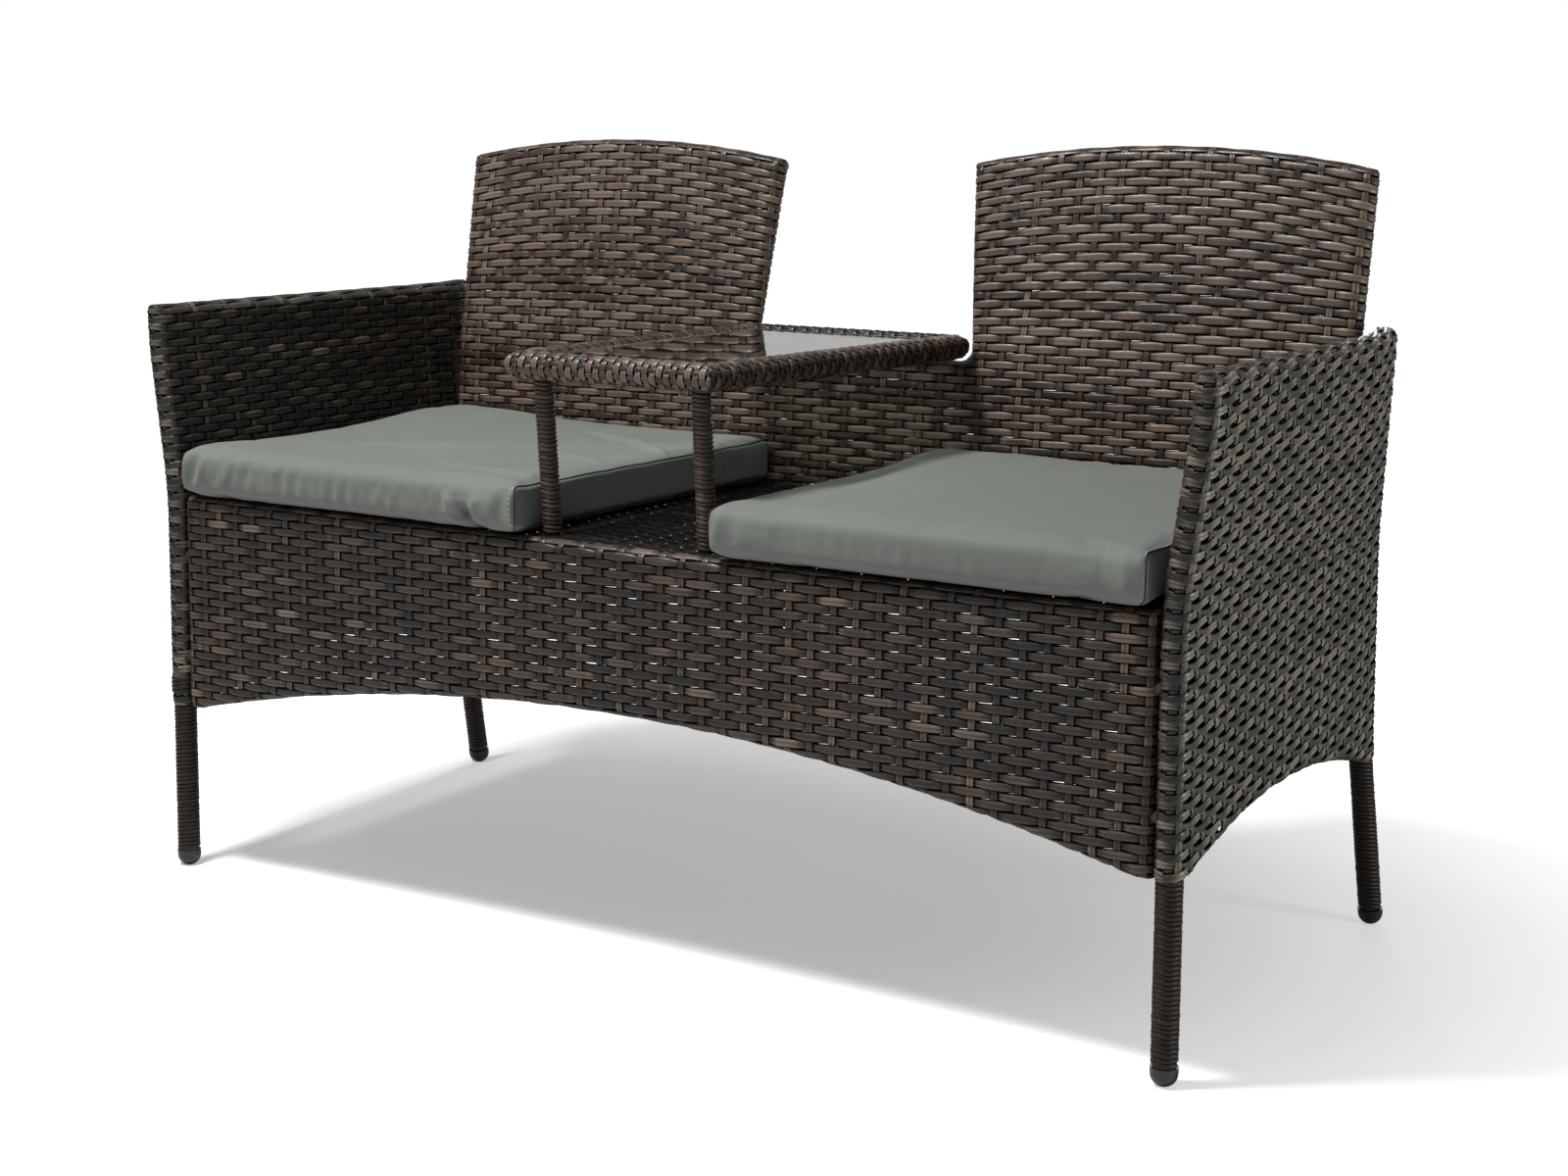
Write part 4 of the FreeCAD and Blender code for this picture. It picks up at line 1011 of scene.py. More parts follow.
@dataclass
class Backrest:
    """The woven back: two arched backrests and the low middle between them."""

    tube: float = 11.2
    half: float = 577.0
    low_z: float = 414.0
    bend_z: float = 560.0
    corner_z: float = 794.0
    crown_z: float = 815.0
    middle_z: float = 620.0
    gap_top: float = 124.5
    gap_low: float = 139.0
    notch_z: float = 577.5
    notch_soft: float = 12.0
    low_y: float = 208.0
    bend_y: float = 216.0
    top_y: float = 253.0
    row: float = 9.0
    split: int = 20
    bow_from, bow_off = 585.0, 640.0  # height where rows begin to bow with the crown

    def y_at(self, z: Array) -> Array:
        """Give the back's middle y at a height."""
        return bent_line(z, [(self.low_z, self.low_y), (self.bend_z, self.bend_y),
                             (self.corner_z, self.top_y)], [16.0])

    def lean_at(self, z: Array) -> Array:
        """Give the back's slope at a height."""
        return (self.y_at(z + 1.0) - self.y_at(z - 1.0)) / 2.0

    def crown(self, x: Array) -> tuple[Array, Array]:
        """Give the crown's height and slope at a distance from the bench's middle."""
        middle = (self.half - 1.0 + self.gap_top) / 2
        half = (self.half - 1.0 - self.gap_top) / 2
        run = np.clip(x - middle, -half * 1.3, half * 1.3)
        return arc(run, half, self.crown_z - self.corner_z, self.crown_z)

    def crown_away(self, a: Array, b: Array) -> Away:
        """Give the distance rule of the crowns."""
        high, slope = self.crown(np.abs(a))
        size = np.sqrt(1 + slope ** 2)
        return (high - b) / size, np.sign(a) * slope / size, -1 / size

    def notch_away(self, a: Array, b: Array) -> Away:
        """Give the distance rule of the notch's side and floor, with a soft corner."""
        slope = (self.gap_low - self.gap_top) / (self.corner_z - self.middle_z)
        size = math.sqrt(1 + slope ** 2)
        side = (np.abs(a) - (self.gap_top + slope * (self.corner_z - b))) / size
        floor = self.notch_z - b
        share = np.clip(0.5 + 0.5 * (side - floor) / self.notch_soft, 0.0, 1.0)
        away = floor + (side - floor) * share + self.notch_soft * share * (1 - share)
        in_a = np.where(a < 0, -1.0, 1.0) * share / size
        in_b = share * slope / size - (1 - share)
        length = np.maximum(np.sqrt(in_a ** 2 + in_b ** 2), 1e-6)
        return away, in_a / length, in_b / length

    def surface(self) -> Sheet:
        """Give the back's folded sheet."""
        def spread(a: Array, b: Array, depth: Array) -> Array:
            """Give the point at a place on the leaning back."""
            lean = self.lean_at(b)
            size = np.sqrt(1 + lean ** 2)
            out = self.tube - depth
            return np.stack([a, self.y_at(b) - out / size, b + out * lean / size], axis=-1)

        return Sheet(spread, [
            Fold(self.tube, 4.2, straight_away(1, self.half, True)),
            Fold(self.tube, 4.2, straight_away(-1, -self.half, True)),
            Fold(self.tube, 4.2, self.crown_away),
            Fold(self.tube, 4.2, self.notch_away),
            Fold(self.tube, 3.3, straight_away(-1, self.low_z - self.tube, False))])

    def arc(self, x: Array, z: Array) -> Array:
        """Give how far a row rises with the crown at a place."""
        rise = self.crown(np.clip(np.abs(x), self.gap_top, self.half))[0] - self.corner_z
        return rise * np.clip((z - self.bow_from) / (self.corner_z - self.bow_off), 0.0, 1.0)

    def build(self, finishes: Finishes) -> None:
        """Weave the back in three pieces that share their rows."""
        surface = self.surface()
        reach = self.half + 3.3 * self.tube
        top = self.corner_z + 3.4 * self.tube
        low = self.low_z - 3.2 * self.tube
        rows = np.arange(low, top, self.row)
        stakes = PLAIN.stakes(reach)
        parts = (("back_wefts_low", rows[:self.split], 0), ("back_wefts_high", rows[self.split:], self.split))
        for name, part, first in parts:
            cloud = Cloud()
            origin = stakes[0] + PLAIN.stake * (first % 2)
            # painted light: the leaning back, turned up to the lamp, gets a paler middle tone than the apron
            Weaver(surface, cloud, 31 + first).lay(part, (-reach, reach), PLAIN.stake, origin,
                                                   PLAIN.weft_lift, PLAIN.weft, Along.A, PLAIN.steps,
                                                   drift=self.arc, shade=0.78)
            hand_over_strands(cloud, name, "back_weave", finishes.wicker, finishes.edge)
        posts = Cloud()
        Weaver(surface, posts, 39).lay(stakes, (low, top + 21), self.row, rows[0], -PLAIN.stake_lift,
                                       PLAIN.post, Along.B, 2, shade=0.5, slant=0.0)
        hand_over_strands(posts, "back_stakes", "back_weave", finishes.wicker, finishes.edge)


@dataclass
class ArmSide:
    """One woven arm side, from the arm rail down to its arch, with its posts."""

    tube: float = 12.1
    rod: float = 6.0
    front_y: float = -265.0
    bend_y: float = 168.0
    arm_x: float = 607.5
    post_x: float = 587.0
    foot_x: float = 593.0
    foot_z: float = 12.2
    flare_low: float = 430.0
    flare_high: float = 585.0
    end_z: float = 188.0
    arch_z: float = 226.0
    knee_z: float = 205.0
    knee_y: float = 231.0
    rear_foot_y: float = 274.0
    rail: Triple = (619.5, 623.0, 626.0)
    rear_xs: tuple[float, ...] = (606.5, 598.0, 591.5, 598.5)
    bulge_low, bulge_rise, bulge_bend = 2.5, 5.4, 6.0
    arch_ahead, arch_behind, arch_fade = 11.0, 9.0, 12.0
    tilt_from, tilt_run = 480.0, 140.0  # height where rows begin to tilt with the rail

    def front_x(self, z: Array) -> Array:
        """Give the front post's middle x at a height."""
        return bent_line(z, [(self.foot_z, self.foot_x), (self.flare_low, self.post_x),
                             (self.flare_high, self.arm_x - 1.0), (self.rail[0], self.arm_x)], [35.0, 12.0])

    def rear_x(self, z: Array) -> Array:
        """Give the rear post's middle x at a height."""
        heights = (self.foot_z, self.knee_z, self.flare_low, self.rail[2])
        return bent_line(z, list(zip(heights, self.rear_xs)), [20.0, 20.0])

    def rear_y(self, z: Array) -> Array:
        """Give the rear post's middle y at a height."""
        return bent_line(z, [(self.foot_z, self.rear_foot_y), (self.knee_z, self.knee_y),
                             (self.rail[2], self.knee_y - 1.0)], [27.0])

    def panel_x(self, y: Array, z: Array) -> Array:
        """Give the panel's middle x at a place."""
        front, rear, rear_y = self.front_x(z), self.rear_x(z), self.rear_y(z)
        lean = (rear - front) / (rear_y - self.front_y)
        share = np.clip((front - self.post_x) / (self.arm_x - self.post_x), 0.0, 1.0)
        share = np.where(z > self.flare_low, share, 0.0)
        bulge = self.bulge_low + self.bulge_rise * share
        ahead = bulge / (self.bend_y - self.front_y)
        behind = bulge / (rear_y - self.bend_y)
        return (front + (lean + ahead) * (y - self.front_y)
                - (ahead + behind) * ramp(y - self.bend_y, self.bulge_bend))

    def rail_z(self, y: Array) -> Array:
        """Give the arm rail's middle height at y."""
        return bent_line(y, [(self.front_y, self.rail[0]), (self.bend_y, self.rail[1]),
                             (self.knee_y, self.rail[2])], [5.0])

    def arch_away(self, a: Array, b: Array) -> Away:
        """Give the distance rule of the arched lower edge."""
        ahead, behind = self.front_y + self.arch_ahead, self.knee_y - self.arch_behind
        middle, half = (ahead + behind) / 2, (behind - ahead) / 2
        edge, slope = arc(np.clip(a - middle, -half, half), half, self.arch_z - self.end_z, self.arch_z)
        slope = slope * np.clip((half - np.abs(a - middle)) / self.arch_fade, 0.0, 1.0)
        return above_edge(b, edge, slope)

    def surface(self, inner: bool) -> Sheet:
        """Give the folded sheet of the arm's outer or inner face.

        Args:
            inner: whether to give the face towards the seat.
        Returns:
            The sheet; the two meet on top of the rail and round the posts.
        """
        tube = self.tube - (0.5 if inner else 0.0)
        side = -1.0 if inner else 1.0
        limit, under = (1.6, 1.3) if inner else (2.4, 2.6)

        def spread(a: Array, b: Array, depth: Array) -> Array:
            """Give the point at a place on the bowed panel."""
            x = self.panel_x(a, b)
            lean_a = (self.panel_x(a + 1.0, b) - self.panel_x(a - 1.0, b)) / 2
            lean_b = (self.panel_x(a, b + 1.0) - self.panel_x(a, b - 1.0)) / 2
            size = np.sqrt(1 + lean_a ** 2 + lean_b ** 2)
            out = side * (tube - depth) / size
            return np.stack([x + out, a - out * lean_a, b - out * lean_b], axis=-1)

        def rear(a: Array, b: Array) -> Away:
            """Give the distance in from the rear post's outside."""
            away = self.rear_y(b) + tube - a
            return away, -np.ones_like(away), np.zeros_like(away)

        def top(a: Array, b: Array) -> Away:
            """Give the distance down from the rail's top."""
            away = self.rail_z(np.clip(a, self.front_y, self.knee_y)) + tube - b
            return away, np.zeros_like(away), -np.ones_like(away)

        return Sheet(spread, [
            Fold(tube, limit, straight_away(-1, self.front_y - tube, True)),
            Fold(tube, limit, rear),
            Fold(tube, limit, top),
            Fold(self.rod, under, self.arch_away)], side)

    def build(self, finishes: Finishes, left: bool) -> None:
        """Weave one arm side.

        Args:
            finishes: the bench's finishes.
            left: whether to make the side on -X.
        """
        side = "left" if left else "right"
        turns = 3.4 * self.tube
        top, low = self.rail[2] + turns + 8, self.end_z - 20
        ahead, behind = self.front_y - turns, self.knee_y + turns
        rows = np.arange(low, top, PLAIN.row)
        front_stake = self.front_y - self.tube * (math.pi / 2 - 1)
        stakes = front_stake + np.arange(-1, 30) * PLAIN.stake
        stakes = stakes[stakes < behind]
        seed = 41 + 10 * left
        tilt = self.rail[1] - self.rail[0]

        def rise(run: Array, row: Array) -> Array:
            """Give how far the upper rows tilt with the rail."""
            share = np.clip((row - self.tilt_from) / self.tilt_run, 0.0, 1.0)
            return share * tilt * (run - self.front_y) / (self.bend_y - self.front_y)

        # painted light and shade: the outer face is paler, with a painted highlight on each float's far end
        # and painted shade where it turns round the posts and rail; the inner face is darker as painted shade
        outer_look = {"shade": 0.74, "slant": 1.9, "tip": 0.45, "edge": -0.55}
        inner_look = {"shade": 0.36, "slant": 0.3}
        faces = ((False, "outer", outer_look, 0.55), (True, "inner", inner_look, 0.3))
        for inner, face, weft_look, post_shade in faces:
            surface, wefts, posts = self.surface(inner), Cloud(), Cloud()
            Weaver(surface, wefts, seed).lay(rows, (ahead, behind), PLAIN.stake, stakes[0], PLAIN.weft_lift,
                                             PLAIN.weft, Along.A, PLAIN.steps, drift=rise, **weft_look)
            Weaver(surface, posts, seed + 1).lay(stakes, (low, top), PLAIN.row, rows[0], -PLAIN.stake_lift,
                                                 PLAIN.post, Along.B, 2, shade=post_shade, slant=0.0)
            for cloud, kind in ((wefts, "wefts"), (posts, "stakes")):
                hand_over_strands(cloud, "arm_%s_%s_%s" % (face, kind, side), "arm_weave_" + side,
                                  finishes.arm_wicker, finishes.edge, left, inner)

    def build_legs(self, finishes: Finishes, left: bool) -> None:
        """Wind the strand round the two lower legs of one side."""
        side = "left" if left else "right"
        strand = Strand(width=4.7, thick=1.5, groove=0.0, flare=0.0)
        poles = (("front", self.front_x, lambda z: self.front_y + 0 * z), ("rear", self.rear_x, self.rear_y))
        for name, x_at, y_at in poles:
            cloud = Cloud()
            pole = Pole(x_at, y_at, 11.8)
            weaver = Weaver(pole, cloud, 61 + 7 * left)
            weaver.wind(self.foot_z + 8.5, self.end_z + 2, 4.5, strand, 20, 0.4)
            if name == "front" and left:
                pole = Pole(x_at, y_at, 14.2)
                weaver = Weaver(pole, cloud, 67)
                weaver.wind(203.0, 219.0, 4.6, strand, 20, 0.4)
            title = "leg_wrap_%s_%s" % (name, side)
            hand_over_strands(cloud, "strand_" + title, title, finishes.leg_wicker, mirror=left)


@dataclass
class TeaTable:
    """The woven rim of the raised table and its two wrapped legs."""

    tube: float = 12.1
    rim_z: float = 596.0
    front: tuple[float, float] = (110.0, -268.5)
    rear: tuple[float, float] = (131.5, 192.5)
    ring: float = 8.2
    stakes: int = 8
    # middle tone of each rim bar in the order front, right, rear, left: the front bar is paler as painted
    # light, the rear bar darkest as painted shade
    shades: tuple[float, float, float, float] = (0.95, 0.75, 0.0, 0.5)
    leg: float = 9.1
    leg_foot: Triple = (93.0, -241.0, 425.3)
    leg_top: Triple = (93.5, -254.5, 583.6)

    def bars(self) -> list[Bar]:
        """Give the rim's four straight tubes with their mitres."""
        (fx, fy), (rx, ry) = self.front, self.rear
        corners = [np.array(p) for p in ((-fx, fy, self.rim_z), (fx, fy, self.rim_z),
                                         (rx, ry, self.rim_z), (-rx, ry, self.rim_z))]
        runs = [(corners[i], corners[(i + 1) % 4]) for i in range(4)]
        units = [(b - a) / np.linalg.norm(b - a) for a, b in runs]
        mitres = []
        for i in range(4):
            turn = math.acos(float(np.clip(np.dot(units[i - 1], units[i]), -1, 1)))
            mitres.append(math.tan(turn / 2))
        return [Bar(a, b, self.tube, mitres[i], mitres[(i + 1) % 4]) for i, (a, b) in enumerate(runs)]

    def build(self, finishes: Finishes) -> None:
        """Weave the rim and wind the legs."""
        around = FULL_TURN * self.tube
        pitch = around / self.stakes
        cloud = Cloud()
        for order, bar in enumerate(self.bars()):
            start, end = -self.tube * bar.start_mitre, bar.length + self.tube * bar.end_mitre
            rings = np.arange(start + self.ring / 2, end, self.ring)
            stakes = (np.arange(self.stakes) + 0.5) * pitch
            weaver = Weaver(bar, cloud, 71 + order)
            weaver.lay(rings, (0.0, around), pitch, stakes[0], 1.1, Strand(width=8.4, groove=0.5, flare=0.1),
                       Along.B, 5, shade=self.shades[order], jitter=0.1, slant=0.15)
            weaver.lay(stakes, (start, end), self.ring, rings[0], -0.6, Strand(width=6.6, flare=0.0),
                       Along.A, 2, shade=0.5, jitter=0.1, slant=0.0)
        hand_over_strands(cloud, "table_rim_strands", "table_rim_weave", finishes.wicker, finishes.edge)
        for side, name in ((-1.0, "left"), (1.0, "right")):
            self.build_leg(finishes, side, name)

    def build_leg(self, finishes: Finishes, side: float, name: str) -> None:
        """Wind the strand round one table leg."""
        (fx, fy, fz), (tx, ty, tz) = self.leg_foot, self.leg_top

        def share(z: Array) -> Array:
            """Give the share of the leg's height."""
            return (z - fz) / (tz - fz)

        pole = Pole(lambda z: side * (fx + (tx - fx) * share(z)),
                    lambda z: fy + (ty - fy) * share(z), self.leg)
        cloud = Cloud()
        strand = Strand(width=4.6, thick=1.6, groove=0.0, flare=0.0)
        Weaver(pole, cloud, 81).wind(fz + 2.0, tz, 4.4, strand, 18, 0.45)
        hand_over_strands(cloud, "strand_table_leg_" + name, "table_leg_wrap_" + name, finishes.wicker)


@dataclass(frozen=True)
class Crease:
    """A soft ridge or dent on the cushion's top, from one place to another in millimetres."""

    start: tuple[float, float]
    end: tuple[float, float]
    height: float
    width: float = 5.0

    def lift(self, x: Array, y: Array) -> Array:
        """Give the crease's height in metres at places in metres."""
        (x0, y0), (x1, y1) = self.start, self.end
        run = np.array([x1 - x0, y1 - y0]) * MM
        length = np.linalg.norm(run)
        dx, dy = x - x0 * MM, y - y0 * MM
        along = (dx * run[0] + dy * run[1]) / length
        across = (dy * run[0] - dx * run[1]) / length
        share = np.clip(along / length, 0.0, 1.0)
        past = np.maximum(np.abs(along - length / 2) - length / 2, 0.0)
        bell = np.exp(-(across / (self.width * MM)) ** 2 - (past / 0.012) ** 2)
        dip = np.exp(-((across + 1.8 * self.width * MM) / (1.5 * self.width * MM)) ** 2 - (past / 0.02) ** 2)
        return self.height * MM * (0.4 + 0.6 * np.sin(math.pi * (0.2 + 0.6 * share))) * (bell - 0.5 * dip)


@dataclass(frozen=True)
class Pucker:
    """A fold down the cushion's front, at a place across the bench in millimetres."""

    x: float
    height: float
    width: float = 6.0
    lean: float = 0.0
    low: float = 0.0
    high: float = 1.0

    def push(self, x: Array, share: Array) -> Array:
        """Give how far the front moves out, in metres, at places and shares of the height."""
        across = x - (self.x + self.lean * (share - 0.5)) * MM
        fade = np.clip((share - self.low) / 0.2, 0, 1) * np.clip((self.high - share) / 0.2, 0, 1)
        return self.height * MM * fade * np.exp(-(across / (self.width * MM)) ** 2)


@dataclass
class Cord:
    """A thin cord that follows points on a surface."""

    name: str
    points: Array
    radius: float
    sides: int = 8

    def build(self) -> bpy.types.Object:
        """Make the cord's closed mesh."""
        run = np.gradient(self.points, axis=0)
        run /= np.maximum(np.linalg.norm(run, axis=1, keepdims=True), TINY)
        up = np.where(np.abs(run[:, 2:3]) > 0.9, [[1.0, 0.0, 0.0]], [[0.0, 0.0, 1.0]])
        side = np.cross(run, up)
        side /= np.maximum(np.linalg.norm(side, axis=1, keepdims=True), TINY)
        other = np.cross(side, run)
        angles = np.arange(self.sides) * 2 * math.pi / self.sides
        ring = (np.cos(angles)[None, :, None] * side[:, None, :]
                + np.sin(angles)[None, :, None] * other[:, None, :]) * self.radius
        points = (self.points[:, None, :] + ring).reshape(-1, 3)
        count = len(self.points)
        index = np.arange(count * self.sides).reshape(count, self.sides)
        ahead = np.roll(index, -1, axis=1)
        quads = np.stack([index[:-1], ahead[:-1], ahead[1:], index[1:]], axis=-1).reshape(-1, 4)
        faces = [tuple(q) for q in quads.tolist()]
        faces += [tuple(index[0][::-1].tolist()), tuple(index[-1].tolist())]
        mesh = bpy.data.meshes.new(self.name)
        mesh.from_pydata(points.tolist(), [], faces)
        mesh.shade_smooth()
        return new_object(self.name, mesh)


@dataclass
class Cushion:
    """One loose seat cushion: a wrapped cover with sewn in side panels, seams, stitches and creases."""

    node: str
    foam: str
    body: Body
    name: str
    creases: list[Crease]
    puckers: list[Pucker]
    raised: list[tuple[float, float, float, float]]
    stitched: bool
    rumple: float
    puff: float = 4.0
    rounded: float = 4.0
    bevel: float = 12.0
    voxel: float = 5.0
    pressure: float = 4.0
    cap: float = 7.0
    start_in: float = 3.0
    side_reach, rim_reach, seam_reach = 0.03, 0.02, 0.003  # how far side, rim and seam forms reach, in metres
    crown_from = 0.55  # share of the height where the top begins
    cord_radius, thread_radius, stitch_radius = 0.0008, 0.0004, 0.00045
    stitch_step, stitch_run, stitch_in = 0.0052, 0.003, 0.0055
    proud = 0.0002  # how far seam points lie over the cloth

    def block(self) -> bpy.types.Object:
        """Make the starting block, a little smaller than the solid's box."""
        low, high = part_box(self.node)
        inset = self.start_in * MM
        lo = np.array([low[0] + inset, low[1] + inset, low[2]])
        hi = np.array([high[0] - inset, high[1] - inset, high[2] - inset])
        mesh = bpy.data.meshes.new(self.name)
        maker = bmesh.new()
        bmesh.ops.create_cube(maker, size=1.0)
        for vertex in maker.verts:
            vertex.co = Vector(((lo + hi) / 2 + np.array(vertex.co) * (hi - lo)).tolist())
        fronts = [e for e in maker.edges if all(v.co.y < (lo[1] + hi[1]) / 2 for v in e.verts)
                  and abs(e.verts[0].co.z - e.verts[1].co.z) < 1e-6]
        bmesh.ops.bevel(maker, geom=fronts, offset=self.bevel * MM, segments=5, affect="EDGES", profile=0.5)
        bmesh.ops.bevel(maker, geom=maker.edges[:], offset=0.003, segments=1, affect="EDGES", profile=0.5)
        maker.to_mesh(mesh)
        maker.free()
        return new_object(self.name, mesh)

    def apply(self, piece: bpy.types.Object) -> None:
        """Apply a piece's modifiers."""
        graph = bpy.context.evaluated_depsgraph_get()
        mesh = bpy.data.meshes.new_from_object(piece.evaluated_get(graph))
        old = piece.data
        piece.modifiers.clear()
        piece.data = mesh
        bpy.data.meshes.remove(old)
        piece.data.name = self.name

    def swell(self, piece: bpy.types.Object) -> None:
        """Blow the cover up a little with a cloth simulation."""
        cloth = piece.modifiers.new("swell", "CLOTH")
        settings = cloth.settings
        settings.use_pressure = True
        settings.uniform_pressure_force = self.pressure
        settings.quality = 6
        settings.tension_stiffness = 18
        settings.compression_stiffness = 12
        settings.bending_stiffness = 0.35
        settings.effector_weights.gravity = 0.0
        scene = bpy.context.scene
        for step in range(1, 21):
            scene.frame_set(step)
            piece.evaluated_get(bpy.context.evaluated_depsgraph_get())
        self.apply(piece)
        scene.frame_set(1)

    @staticmethod
    def places(piece: bpy.types.Object) -> Array:
        """Give the piece's vertex places."""
        co = np.empty(len(piece.data.vertices) * 3, np.float32)
        piece.data.vertices.foreach_get("co", co)
        return co.reshape(-1, 3).astype(float)

    def hold(self, piece: bpy.types.Object, rest: Array) -> None:
        """Cap how far the simulation moved each vertex."""
        move = self.places(piece) - rest
        size = np.linalg.norm(move, axis=1, keepdims=True)
        co = rest + move * np.minimum(1.0, self.cap * MM / np.maximum(size, TINY))
        piece.data.vertices.foreach_set("co", co.astype(np.float32).ravel())
        piece.data.update()

    def shape(self, piece: bpy.types.Object, lo: Array, hi: Array) -> None:
        """Fit the cover to the solid's box and add crown, seams, creases and puckers.

        Args:
            piece: the swollen cover.
            lo: the box's lowest corner.
            hi: the box's highest corner.
        """
        side, rim, crown = self.side_reach, self.rim_reach, self.crown_from
        co = self.places(piece)
        low, high = co.min(axis=0), co.max(axis=0)
        co = lo + (co - low) / (high - low) * (hi - lo)
        share = (co - lo) / (hi - lo)
        x, y, z = co.T.copy()
        level = np.sin(np.clip(share[:, 2], 0, 1) * math.pi)
        top = np.clip((share[:, 2] - crown) / 0.4, 0, 1)
        for cx, cy, height, reach in self.raised:
            bell = np.exp(-((x - cx * MM) ** 2 + (y - cy * MM) ** 2) / (reach * MM) ** 2)
            co[:, 2] += share[:, 2] * height * MM * bell
        for crease in self.creases:
            co[:, 2] += top * crease.lift(x, y)
        front = np.clip(1 - (y - lo[1]) / side, 0, 1)
        for pucker in self.puckers:
            co[:, 1] -= front * pucker.push(x, share[:, 2])
        co[:, 1] -= front * self.puff * MM * level
        corner = np.clip(1 - (x - lo[0]) / 0.035, 0, 1) ** 2
        co[:, 1] += corner * front * self.rounded * MM
        co[:, 0] += corner * front * 0.3 * self.rounded * MM * (1 - share[:, 2])
        foot = np.clip(1 - share[:, 2] / 0.25, 0, 1)
        co[:, 2] += foot * front * (0.0025 + corner * self.rounded * 0.4 * MM)
        fine, patches = np.sin(x * 310.0 + 3 * np.sin(y * 23.0)), np.sin(x * 47.0 + 1.7)
        ripple = fine * patches * np.sin(z * 60.0 + x * 9.0)
        co[:, 1] -= front * self.rumple * MM * ripple * level
        folds = np.sin((x * 0.5 - y * 0.86) * 150.0 + 2.0 * np.sin(x * 21.0))
        folds = folds * np.clip(np.sin(x * 13.0 + y * 9.0), 0, 1)
        co[:, 2] += top * 0.25 * self.rumple * MM * folds
        to_side = np.minimum(x - lo[0], hi[0] - x)
        to_rim = np.minimum.reduce([y - lo[1], hi[1] - y, z - lo[2], hi[2] - z])
        seam = np.exp(-((to_side / self.seam_reach) ** 2 + (to_rim / self.seam_reach) ** 2))
        inward = (lo + hi) / 2 - co
        inward[:, 1] *= 0.3
        inward /= np.maximum(np.linalg.norm(inward, axis=1, keepdims=True), TINY)
        near = np.clip(to_side / side, 0, 1)
        bulge = np.exp(-(to_rim / rim) ** 2) * near * (1 - near) * 4
        co -= inward * (bulge * 0.0012 * (1 + np.sin(y * 90) * np.sin(x * 70)))[:, None]
        co += inward * (seam * 0.001)[:, None]
        co[:, 2] = np.maximum(co[:, 2], lo[2])
        piece.data.vertices.foreach_set("co", co.astype(np.float32).ravel())
        layer = piece.data.attributes.new("seam", "FLOAT", "POINT")
        layer.data.foreach_set("value", (seam * 0.6).astype(np.float32))
        piece.data.update()

    def seam_points(self, tree: BVHTree, lo: Array, hi: Array, side: float) -> Array:
        """Trace the seam round one side panel on the finished cover.

        Args:
            tree: the cover's search tree.
            lo: the block's lowest corner.
            hi: the block's highest corner.
            side: 1 for the panel on +X, -1 for the one on -X.
        Returns:
            The points along the seam, from the front's foot over the top to the rear's foot.
        """
        x = hi[0] if side > 0 else lo[0]
        foot, head = lo[2] + 0.004, hi[2]
        steps = [(lo[1], z, -1.0, 0.0) for z in np.linspace(foot, head - 0.012, 12)]
        steps += [(lo[1] + 0.012 * (1 - math.cos(t)), head - 0.012 * (1 - math.sin(t)),
                   -math.cos(t), math.sin(t)) for t in np.linspace(0.15, 1.45, 8)]
        steps += [(y, head, 0.0, 1.0) for y in np.linspace(lo[1] + 0.014, hi[1] - 0.004, 90)]
        steps += [(hi[1], z, 1.0, 0.0) for z in np.linspace(head - 0.004, foot, 12)]
        found = []
        for y, z, out_y, out_z in steps:
            aim = Vector((side * 0.8, out_y, out_z)).normalized()
            start = Vector((x, y, z)) + aim * 0.04
            spot, normal, _, _ = tree.ray_cast(start, -aim, 0.08)
            if spot is not None:
                found.append(np.array(spot + normal * self.proud))
        return np.array(found)

    def trim(self, piece: bpy.types.Object, lo: Array, hi: Array, finishes: Finishes) -> None:
        """Lay the seam cords and the pale stitches on the cover."""
        tree = BVHTree.FromObject(piece, bpy.context.evaluated_depsgraph_get())
        for side, label in ((-1.0, "left"), (1.0, "right")):
            points = self.seam_points(tree, lo, hi, side)
            cord = Cord("%s_seam_%s" % (self.name, label), points, self.cord_radius).build()
            hand_over(cord, self.body, finishes.seam, [self.node])
        if not self.stitched:
            points = self.seam_points(tree, lo, hi, 1.0)[14:44] + np.array([-0.0006, 0.0, 0.0009])
            edge = Cord(self.name + "_edge_thread", points, self.thread_radius).build()
            hand_over(edge, self.body, finishes.thread, [self.node])
            return
        for number, z in enumerate(np.arange(lo[2] + 0.006, hi[2] - 0.008, self.stitch_step)):
            dash = []
            for level in np.linspace(z, z + self.stitch_run, 4):
                spot, normal, _, _ = tree.ray_cast(Vector((hi[0] - self.stitch_in, lo[1] - 0.04, level)),
                                                   Vector((0.0, 1.0, 0.0)), 0.1)
                if spot is not None:
                    dash.append(np.array(spot + normal * self.proud))
            if len(dash) > 2:
                name = "%s_stitch_%02d" % (self.name, number)
                stitch = Cord(name, np.array(dash), self.stitch_radius, 6).build()
                hand_over(stitch, self.body, finishes.thread, [self.node])

    def build(self, finishes: Finishes) -> None:
        """Make the cushion."""
        piece = self.block()
        remesh = piece.modifiers.new("even", "REMESH")
        remesh.mode = "VOXEL"
        remesh.voxel_size = self.voxel * MM
        self.apply(piece)
        rest = self.places(piece)
        self.swell(piece)
        self.hold(piece, rest)
        rounder = piece.modifiers.new("round", "SUBSURF")
        rounder.levels = 1
        rounder.render_levels = 1
        self.apply(piece)
        lo, hi = (np.array(corner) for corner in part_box(self.node))
        self.shape(piece, lo, hi)
        piece.data.shade_smooth()
        hand_over(piece, self.body, finishes.cloth, [self.node, self.foam])
        self.trim(piece, lo, hi, finishes)


